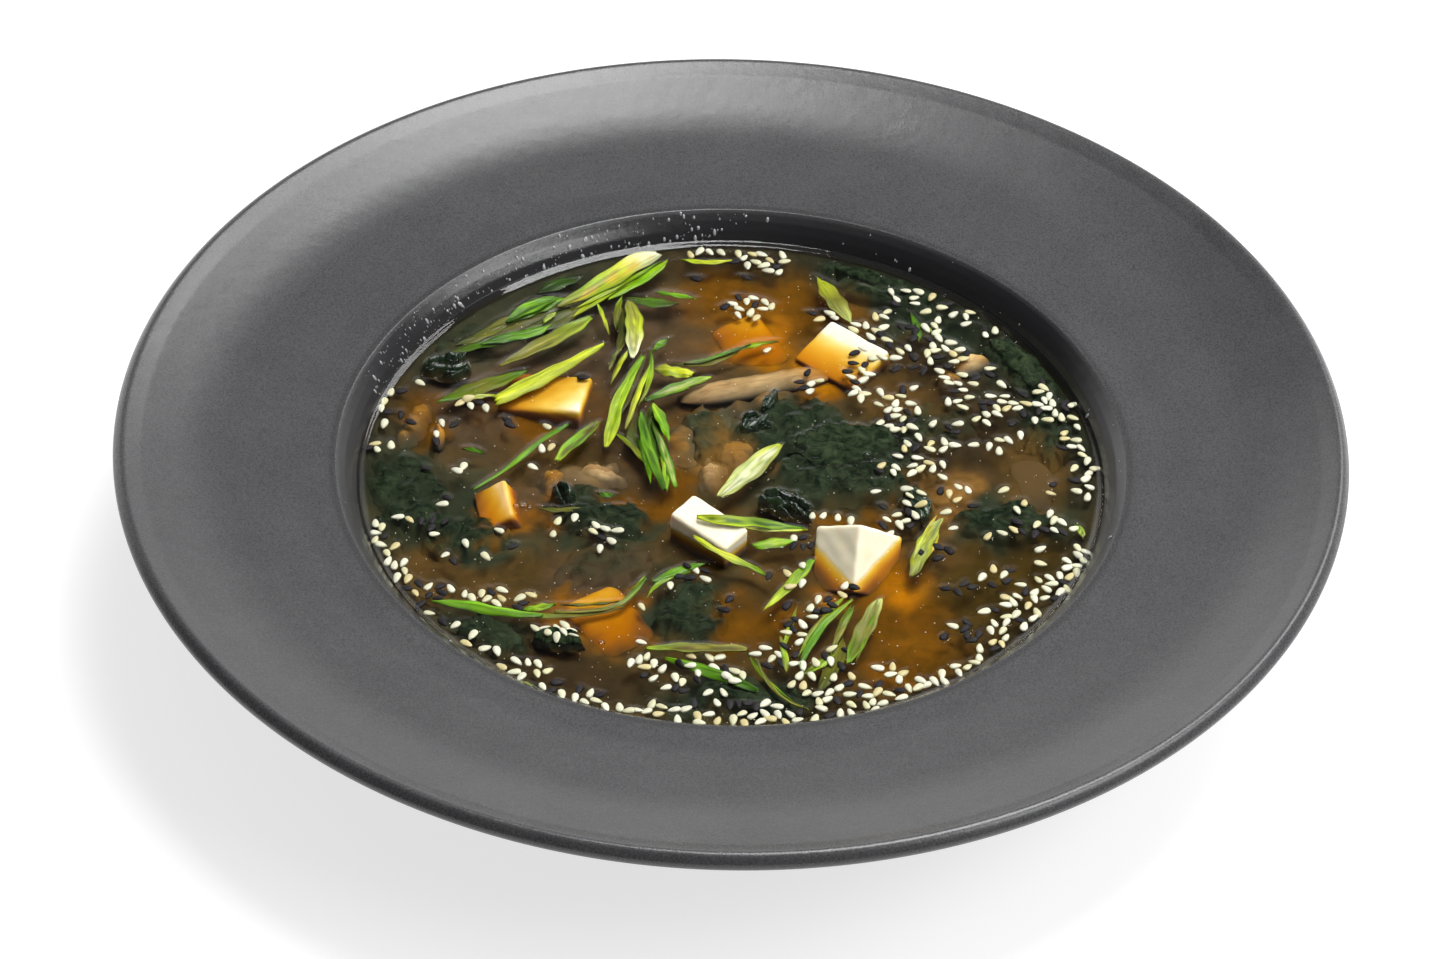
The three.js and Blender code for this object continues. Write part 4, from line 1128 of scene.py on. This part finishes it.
# Where more seeds lie: middle, half length, half width, turn in degrees, and how many white
# and black seeds there are in all, with those that the CAD soup has
SEED_PATCHES = [
    (6, 82, 7, 3.5, 0, 14, 3), (8, 77, 4, 3, 0, 4, 2), (4, 63, 5.5, 4.5, 0, 14, 3),
    (22, 60, 4, 2.4, 0, 4, 2), (33, 54, 6.5, 3, -35, 9, 1), (37, 46, 8, 4, -10, 8, 6),
    (47, 54, 5, 5, 0, 7, 5), (52, 46, 6, 5, 0, 14, 4), (37, 67, 3.5, 5, 0, 4, 2),
    (44, 70, 6, 2, -20, 5, 0), (51, 66, 3, 3, 0, 3, 2), (57, 61, 3, 4, 0, 5, 0),
    (62, 56, 2.5, 2, 0, 3, 0), (57, 36, 7, 4, 10, 8, 4), (60, 28, 9, 4, -10, 16, 5),
    (75, 33, 4, 7, 0, 8, 2), (76, 25, 6, 4, 0, 10, 4), (82, 24, 2.5, 6, 0, 6, 1),
    (32, 31, 5, 2, -20, 6, 0), (40, 26, 5, 4, -20, 14, 6), (40, 19, 5, 2.5, 0, 8, 4),
    (46, 12, 6, 3, 0, 10, 2), (47, 5, 4.5, 3, 0, 8, 0), (60, 12, 7, 2.5, 0, 6, 0),
    (52, 19, 4, 2.5, 0, 3, 3), (30, 38, 3.5, 4.5, 0, 5, 5), (19, 33, 3, 5.5, 0, 4, 4),
    (38, 2, 4, 2.5, 0, 4, 2), (85, 4, 2.5, 5, 0, 5, 0), (80, 14, 5, 2.5, 0, 5, 2),
    (53, -5, 4, 3, 0, 5, 1), (43, -9, 3, 5, 0, 8, 2), (38, -16, 6, 2.5, 0, 5, 3),
    (26, -15, 7, 2, 0, 6, 0), (62, -18, 5, 3, 0, 4, 0), (70, -17, 4, 3, 0, 3, 5),
    (79, -16, 4, 3, 0, 6, 2), (80, -3, 5, 4, 0, 5, 3), (80, -31, 2.5, 7, -25, 12, 0),
    (75, -38, 6, 3.5, 40, 14, 3), (67, -41, 4, 2.5, 0, 5, 1), (62, -34, 4, 3.5, 0, 4, 4),
    (66, -49, 7, 3, 42, 14, 1), (61, -58, 7, 2, 38, 7, 0), (53, -53, 5, 4, 0, 1, 9),
    (53, -38, 4, 2.5, 0, 0, 5), (48, -27, 3.5, 3.5, 0, 0, 5), (53, -64, 4, 2, 0, 4, 0),
    (47, -71, 5, 1.6, 24, 6, 0), (40, -72, 6, 3.5, 10, 11, 3), (28, -74, 4.5, 3.5, 0, 7, 3),
    (33, -79, 7, 1.6, 15, 8, 0), (22, -77, 4.5, 3.5, 0, 8, 1), (17, -68, 3, 6, 0, 9, 0),
    (11, -63, 5.5, 4, 0, 7, 5), (16, -55, 3, 4.5, 0, 6, 4), (26, -63, 4.5, 3, 0, 3, 4),
    (10, -83, 12, 2, 5, 16, 2), (5, -80, 5, 2.5, 0, 3, 5), (2, -70, 4, 3, 0, 5, 2),
    (-4, -65, 5, 2.5, 0, 5, 0), (-10, -71, 5.5, 5.5, 0, 9, 6), (-19, -66, 3, 8, 0, 9, 0),
    (-12, -82.5, 12, 2, -6, 17, 0), (-31, -78.5, 9, 2.2, -17, 10, 4), (-42, -71, 7, 3, -40, 8, 2),
    (-39, -57, 5.5, 3, -5, 12, 0), (-51, -66, 5, 3.5, -38, 6, 0), (-50, -46, 6, 3.5, 0, 9, 4),
    (-59, -44, 3.5, 2.5, 0, 4, 0), (-67, -44, 4.5, 2.5, 0, 3, 6), (-72, -43, 3, 3, 0, 2, 4),
    (-76, -37, 9, 2.4, -62, 11, 3), (-81, -26, 7, 1.8, -72, 8, 0), (-67, -52, 2.5, 2.5, 0, 2, 0),
    (-76, -21, 4.5, 2.5, 0, 3, 1), (-69, -21, 3, 2.5, 0, 0, 4), (-60, -27, 3.5, 2.5, 0, 2, 0),
    (-31, -21, 3.5, 3.5, 0, 4, 1), (-8, -36, 4.5, 2.5, 0, 3, 5), (17, -24, 2.5, 2.5, 0, 1, 6),
    (22, -46, 2.4, 3.5, 0, 1, 5), (27, -39, 3, 3, 0, 3, 2), (16, -37, 2.8, 6, 0, 6, 0),
    (0, -46, 2.4, 2.4, 0, 0, 3), (9.5, -36.5, 2, 1.6, 0, 0, 2), (-62, 22.6, 4.5, 2.2, 0, 6, 2),
    (-84, 26, 2, 6, 0, 4, 0), (-68.6, 15.4, 2, 2, 0, 2, 1), (-70, 9.6, 1.2, 1.2, 0, 0, 1),
    (-85, 7, 2.5, 3, 0, 3, 2), (-80, 16.5, 5, 2, 0, 1, 3), (-53.5, 16, 1.6, 1.6, 0, 0, 3),
    (-8, 83.6, 6, 1.4, 0, 5, 0), (-10.5, 74, 1, 1, 0, 0, 1), (-3, 63, 2, 2, 0, 0, 2),
    (-37, 33.5, 1, 1, 0, 0, 1), (-45, 12, 4, 6, 0, 4, 0), (-60, -3, 6, 5, 0, 3, 0),
    (-67, -13, 2, 3, 0, 1, 1), (34, -6, 3, 3, 0, 1, 0), (8, 46, 2, 2, 0, 1, 0),
    (70, 15, 6, 4, 0, 4, 0), (67, -3, 4, 2, 0, 1, 0), (36, -21, 5, 4, 0, 1, 0),
]


def seed_shape():
    """One seed lying along +X: a flat oval, narrower at one end, with full sides."""
    rows = np.linspace(0, math.pi, SEED_RINGS + 1)[1:-1]
    sides = np.arange(SEED_SIDES) * 2 * math.pi / SEED_SIDES
    x = np.cos(rows)[:, None] * np.ones(SEED_SIDES)
    round_ = np.sin(rows)[:, None] ** 0.9 * (1 - 0.30 * x)
    y, z = round_ * np.cos(sides), round_ * np.sin(sides)
    z = np.sign(z) * np.abs(z) ** 0.8
    points = np.stack([x, y, z], axis=-1).reshape(-1, 3)
    points = np.vstack([points, [1.04, 0, 0], [-1, 0, 0]])
    index = np.arange(len(points) - 2).reshape(-1, SEED_SIDES)
    ahead = np.roll(index, -1, axis=1)
    faces = np.stack([index[:-1], index[1:], ahead[1:], ahead[:-1]], axis=-1).reshape(-1, 4).tolist()
    tip, tail = len(points) - 2, len(points) - 1
    faces += [[tip, a, b] for a, b in zip(index[0], ahead[0])]
    faces += [[tail, b, a] for a, b in zip(index[-1], ahead[-1])]
    return points * np.array([SEED_LENGTH, SEED_WIDTH, SEED_THICK]) / 2, faces


def cad_seeds():
    """Where the CAD soup has its seeds: the top of each, and the way it points."""
    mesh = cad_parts["soup"].data
    points = np.round(mesh_points(mesh), 3)
    unique, back = np.unique(points, axis=0, return_inverse=True)
    back = back.reshape(-1)
    peak = unique[:, 2].max() - 0.02
    around = {}
    for edge in mesh.edges:
        a, b = back[edge.vertices[0]], back[edge.vertices[1]]
        for top, other in ((a, b), (b, a)):
            if unique[top, 2] > peak and unique[other, 2] < peak:
                around.setdefault(top, set()).add(other)
    seeds = []
    for top, others in around.items():
        ring = unique[list(others)] - unique[top]
        axis = np.linalg.svd(ring[:, :2], full_matrices=False)[2][0]
        seeds.append((unique[top, 0], unique[top, 1], math.atan2(axis[1], axis[0])))
    return sorted(seeds)


def join_copies(name, shape, matrices, tints):
    """One mesh of many copies of a shape, each with its own place and tint."""
    points, faces = shape
    count = len(points)
    corners, quads, colours = [], [], []
    for i, (matrix, tint) in enumerate(zip(matrices, tints)):
        corners.append(points @ np.array(matrix.to_3x3()).T + np.array(matrix.translation))
        quads += [[corner + i * count for corner in face] for face in faces]
        colours.append(np.tile(tint, (count, 1)))
    mesh = new_mesh(name, np.vstack(corners), quads)
    add_layer(mesh, "tint", np.vstack(colours))
    add_murk(mesh)
    return mesh


def seed_white():
    """White sesame: cream with a browner cast in places."""
    s = Shader("sesame_white")
    fine = s.noise(0.5, detail=2)
    base = s.mix(s.share(fine, 0.35, 0.7, 0.3, 0), s.layer("tint"), (0.36, 0.29, 0.14))
    return s.principled(
        Base_Color=s.veiled(base, s.layer("murk")), Roughness=0.38, Specular_IOR_Level=0.3,
        Normal=s.bump(fine, 0.2, 0.1),
    )


def seed_black():
    """Black sesame: dull and finely pitted."""
    s = Shader("sesame_black")
    fine = s.noise(0.4, detail=2)
    base = s.mix(s.share(fine, 0.4, 0.75), s.layer("tint"), (0.020, 0.017, 0.018))
    return s.principled(
        Base_Color=s.veiled(base, s.layer("murk"), "Hazed"), Roughness=0.55,
        Specular_IOR_Level=0.12, Normal=s.bump(fine, 0.3, 0.1),
    )


def patch_place(patch, draw):
    """A random place in a patch, no nearer to the wall than a seed may lie."""
    middle_x, middle_y, reach, width, turn = patch
    angle = math.radians(turn)
    far, way = math.sqrt(draw.random()), draw.uniform(0, 2 * math.pi)
    u, v = far * math.cos(way) * reach, far * math.sin(way) * width
    x = middle_x + u * math.cos(angle) - v * math.sin(angle)
    y = middle_y + u * math.sin(angle) + v * math.cos(angle)
    pull = min(1, SEED_REACH / math.hypot(x, y))
    return x * pull, y * pull


def add_seeds(seeds, patch, kind, missing, draw):
    """Adds the missing seeds of a kind to a patch, as far as there is room for them."""
    for _ in range(SEED_TRIES * max(missing, 0)):
        if missing <= 0:
            break
        x, y = patch_place(patch, draw)
        if min(math.hypot(x - seed[0], y - seed[1]) for seed in seeds) < SEED_SPACING:
            continue
        seeds.append((x, y, draw.uniform(0, 2 * math.pi), kind))
        missing -= 1


def patch_seeds(seeds, draw):
    """Adds seeds, each as (x, y, angle, kind), until every patch has as many as it should."""
    for *patch, white, black in SEED_PATCHES:
        taken = np.array([seed[:2] for seed in seeds])
        away = oval_reach(taken[:, 0] - patch[0], taken[:, 1] - patch[1], *patch[2:])
        there = [seeds[i][3] for i in np.flatnonzero(away < 1.1)]
        for kind, count in (("white", white), ("black", black)):
            missing = round(count * SEED_SHARE) - there.count(kind)
            add_seeds(seeds, patch, kind, missing, draw)
    return seeds


def rest_on(ground, x, y):
    """The height and the upward direction of what a seed comes to rest on."""
    spot, normal = ground.ray_cast(Vector((x, y, 80)), Vector((0, 0, -1)))[:2]
    if spot is None or spot.z < SOUP_LEVEL + 0.2:
        return SOUP_LEVEL, Vector((0, 0, 1))
    return spot.z + 0.25, (normal + Vector((0, 0, 0.3))).normalized()


def build_seeds(ground):
    draw = np.random.default_rng(5)
    shape = seed_shape()
    kinds = {"white": ([], []), "black": ([], [])}
    tints = {"white": WHITE_TINTS, "black": BLACK_TINTS}
    seeds = []
    for x, y, angle in cad_seeds():
        angle += math.pi * draw.integers(2)
        seeds.append((x, y, angle, "black" if draw.random() < BLACK_SHARE else "white"))
    for x, y, angle, kind in patch_seeds(seeds, draw):
        tint = np.array(tints[kind][draw.integers(len(tints[kind]))]) * draw.uniform(0.9, 1.08)
        height, up = rest_on(ground, x, y)
        lean = Vector((0, 0, 1)).rotation_difference(up).to_matrix().to_4x4()
        turns = (draw.uniform(-0.2, 0.2), draw.uniform(-0.14, 0.14), angle)
        tilt = Euler(turns).to_matrix().to_4x4()
        size = Matrix.Scale(draw.uniform(0.86, 1.08), 4)
        matrix = Matrix.Translation((x, y, height + SEED_FLOAT)) @ lean @ tilt @ size
        kinds[kind][0].append(matrix)
        kinds[kind][1].append(tint)
    for kind, material in (("white", seed_white()), ("black", seed_black())):
        mesh = join_copies("sesame_" + kind, shape, *kinds[kind])
        add_piece("sesame_" + kind, mesh, material)


# ---- droplets, bubbles and specks ------------------------------------------------------
DROP_COUNT = 260                # droplets on the wall
DROP_LEAN = -0.97               # the wall's slope, in radians
SPECK_COUNT = 700               # miso specks in the top of the broth
SPECK_TINT = (0.80, 0.74, 0.55)
# Bubbles on the surface: place and radius
BUBBLES = [
    (32.3, 7.8, 1.3), (34, 6.6, 0.5), (33.6, 5.6, 0.4), (-48.6, -13.2, 1.1), (-50.2, -13.6, 0.8),
    (-47, -14, 0.6), (-19.5, 86.6, 1.0), (-18, 87, 0.7), (12, 87, 0.5), (52, 69.5, 0.6),
    (67, 54, 0.6), (69.4, 51.6, 0.5), (-28.4, -60, 0.8), (38, 7, 0.5), (39.4, 8, 0.4),
]


def round_shape(rings=6, sides=10):
    """A ball of radius 1."""
    rows = np.linspace(0, math.pi, rings + 1)[1:-1]
    profile = [(0, 1)] + [(math.sin(row), math.cos(row)) for row in rows] + [(0, -1)]
    return lathe(profile, sides)


def glint_painted_beads():
    """Beads of water on the dark wall, with a pale grey colour that paints their glints as white dots.
    """
    s = Shader("bead")
    # painted highlight: the pale grey base colour stands in for the glints of clear water
    return s.principled(Base_Color=(0.22, 0.22, 0.23), Roughness=0.12, Specular_IOR_Level=0.8)


def build_droplets():
    """Droplets on the wall, most of them at the back left."""
    draw = np.random.default_rng(31)
    matrices = []
    for _ in range(DROP_COUNT):
        ways = [draw.uniform(88, 165), draw.uniform(0, 360)]
        angle = math.radians(draw.choice(ways, p=[0.85, 0.15]))
        height = SOUP_LEVEL + 0.7 + 5.6 * draw.random()
        radius = np.interp(height, [z for _, z in WALL], [r for r, _ in WALL])
        size = 0.10 + 0.38 * draw.random() ** 3
        long = size * draw.uniform(1, 2.2)
        spot = Matrix.Translation((radius * math.cos(angle), radius * math.sin(angle), height))
        leaning = Euler((0, DROP_LEAN, 0)).to_matrix().to_4x4()
        turned = Euler((0, 0, angle)).to_matrix().to_4x4() @ leaning
        matrices.append(spot @ turned @ Matrix.Diagonal((long, size, size * 0.6, 1)))
    mesh = join_copies("droplets", round_shape(), matrices, [(0, 0, 0)] * DROP_COUNT)
    add_piece("droplets", mesh, glint_painted_beads())


def build_bubbles():
    matrices = [
        Matrix.Translation((x, y, SOUP_LEVEL)) @ Matrix.Diagonal((size, size, size * 0.7, 1))
        for x, y, size in BUBBLES
    ]
    mesh = join_copies("bubbles", round_shape(10, 20), matrices, [(0, 0, 0)] * len(BUBBLES))
    add_piece("bubbles", mesh, bpy.data.materials["broth_surface"])


def build_specks():
    """Specks of miso just under the surface."""
    draw = np.random.default_rng(37)
    matrices, tints = [], []
    for _ in range(SPECK_COUNT):
        radius, angle = 86 * math.sqrt(draw.random()), draw.uniform(0, 2 * math.pi)
        depth = draw.uniform(0.08, 0.7)
        place = (radius * math.cos(angle), radius * math.sin(angle), SOUP_LEVEL - depth)
        size = 0.08 + 0.12 * draw.random() ** 2
        matrices.append(Matrix.Translation(place) @ Matrix.Diagonal((size, size, size / 2, 1)))
        tints.append(SPECK_TINT)
    mesh = join_copies("miso_specks", round_shape(3, 5), matrices, tints)
    s = Shader("miso_speck")
    base = s.veiled(s.layer("tint"), s.layer("murk"), "Hazed")
    material = s.principled(Base_Color=base, Roughness=0.8, Specular_IOR_Level=0.0)
    add_piece("miso_specks", mesh, material)


# ---- studio ----------------------------------------------------------------------------
FLOOR_WHITE = 0.40
FLOOR_GLOW = 0.70
FLOOR_HALF = 4000


def build_camera():
    sine, cosine = math.sin(CAMERA_ELEVATION), math.cos(CAMERA_ELEVATION)
    right, up, back = Vector((1, 0, 0)), Vector((0, sine, cosine)), Vector((0, -cosine, sine))
    shift = right * CAMERA_SHIFT[0] + up * CAMERA_SHIFT[1]
    place = CAMERA_TARGET + back * CAMERA_DISTANCE + shift
    facing = Matrix((right, up, back)).transposed().to_4x4()
    camera = bpy.data.objects.new("camera", bpy.data.cameras.new("camera"))
    camera.data.lens = CAMERA_LENS
    camera.data.sensor_width = 36
    camera.data.clip_start = 0.05
    roll = Matrix.Rotation(CAMERA_ROLL, 4, "Z")
    camera.matrix_world = Matrix.Translation(place * MM) @ facing @ roll
    bpy.context.scene.collection.objects.link(camera)
    bpy.context.scene.camera = camera


def add_light(name, place, aim, size, power):
    """A soft box: place and aim in metres, size in metres, power in watts."""
    light = bpy.data.lights.new(name, "AREA")
    light.shape = "RECTANGLE"
    light.size, light.size_y = size
    light.energy = power
    box = bpy.data.objects.new(name, light)
    box.location = place
    box.rotation_euler = (Vector(aim) - Vector(place)).to_track_quat("-Z", "Y").to_euler()
    bpy.context.scene.collection.objects.link(box)


def build_world():
    """A room that is brighter on the right, with a pale wall low at the far side."""
    world = bpy.data.worlds.new("room")
    bpy.context.scene.world = world
    world.use_nodes = True
    maker = Nodes(world.node_tree)
    way = maker.node("ShaderNodeTexCoord").outputs["Generated"]
    right = maker.share(maker.part(way, "X"), -0.45, 0.6)
    light = maker.mix(right, (0.06, 0.06, 0.06), (0.34, 0.34, 0.34))
    far = maker.share(maker.part(way, "Y"), 0.2, 0.7, 0, 0.75)
    light = maker.mix(far, light, (0.07, 0.07, 0.07))
    beneath = maker.share(maker.part(way, "Z"), 0.61, 0.45)
    behind = maker.share(maker.part(way, "Y"), 0.35, 0.7)
    left = maker.share(maker.part(way, "X"), 0.1, -0.3)
    wall = maker.mix(left, (1.15, 1.15, 1.15), (1.7, 1.7, 1.7))
    light = maker.mix(maker.maths("MULTIPLY", beneath, behind), light, wall)
    above = maker.share(maker.part(way, "Z"), 0.75, 0.95)
    light = maker.mix(above, light, (0.5, 0.5, 0.5))
    background = maker.node("ShaderNodeBackground", {"Color": light, "Strength": 1.0})
    output = maker.node("ShaderNodeOutputWorld")
    maker.tree.links.new(background.outputs[0], output.inputs["Surface"])


def build_floor():
    """A white floor with a glow of its own, so that it takes only a faint shadow."""
    half = FLOOR_HALF
    corners = [(-half, -half, 0), (half, -half, 0), (half, half, 0), (-half, half, 0)]
    mesh = new_mesh("floor", corners, [[0, 1, 2, 3]])
    s = Shader("pale_floor")
    grey = (FLOOR_WHITE, FLOOR_WHITE, FLOOR_WHITE)
    mesh.materials.append(s.principled(
        Base_Color=grey, Roughness=1.0, Specular_IOR_Level=0.0,
        Emission_Color=(1.0, 1.0, 1.0), Emission_Strength=FLOOR_GLOW,
    ))
    floor = bpy.data.objects.new("floor", mesh)
    bpy.context.scene.collection.objects.link(floor)
    floor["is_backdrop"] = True


def build_studio():
    bpy.context.scene.view_settings.view_transform = "Standard"
    build_camera()
    build_world()
    build_floor()
    add_light("overhead", (0.26, 0.23, 1.22), (0, 0, 0.04), (0.72, 0.54), 18)
    add_light("side", (0.96, -0.34, 1.00), (0, 0, 0.03), (1.1, 0.50), 12)
    add_light("back_right", (0.75, 0.90, 1.15), (0, 0, 0.03), (0.6, 0.6), 9)


# ---- assembly --------------------------------------------------------------------------
def bvh_of(pieces):
    """All the pieces as one searchable shape, in millimetres."""
    points, faces = [], []
    for piece in pieces:
        start = len(points)
        points += [vertex.co / MM for vertex in piece.data.vertices]
        faces += [[start + i for i in face.vertices] for face in piece.data.polygons]
    return BVHTree.FromPolygons(points, faces)


def pieces_of(*starts):
    """The pieces so far whose names begin in one of the given ways."""
    return [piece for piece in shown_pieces() if piece.name.startswith(starts)]


build_studio()
build_plate()
build_leaves()
build_tofu()
build_wakame()
build_mushrooms()
build_seeds(bvh_of(pieces_of("onion", "tofu", "wakame", "mushroom")))
build_broth(bvh_of(pieces_of("onion", "tofu", "wakame", "sesame")))
build_murk()
build_droplets()
build_bubbles()
build_specks()
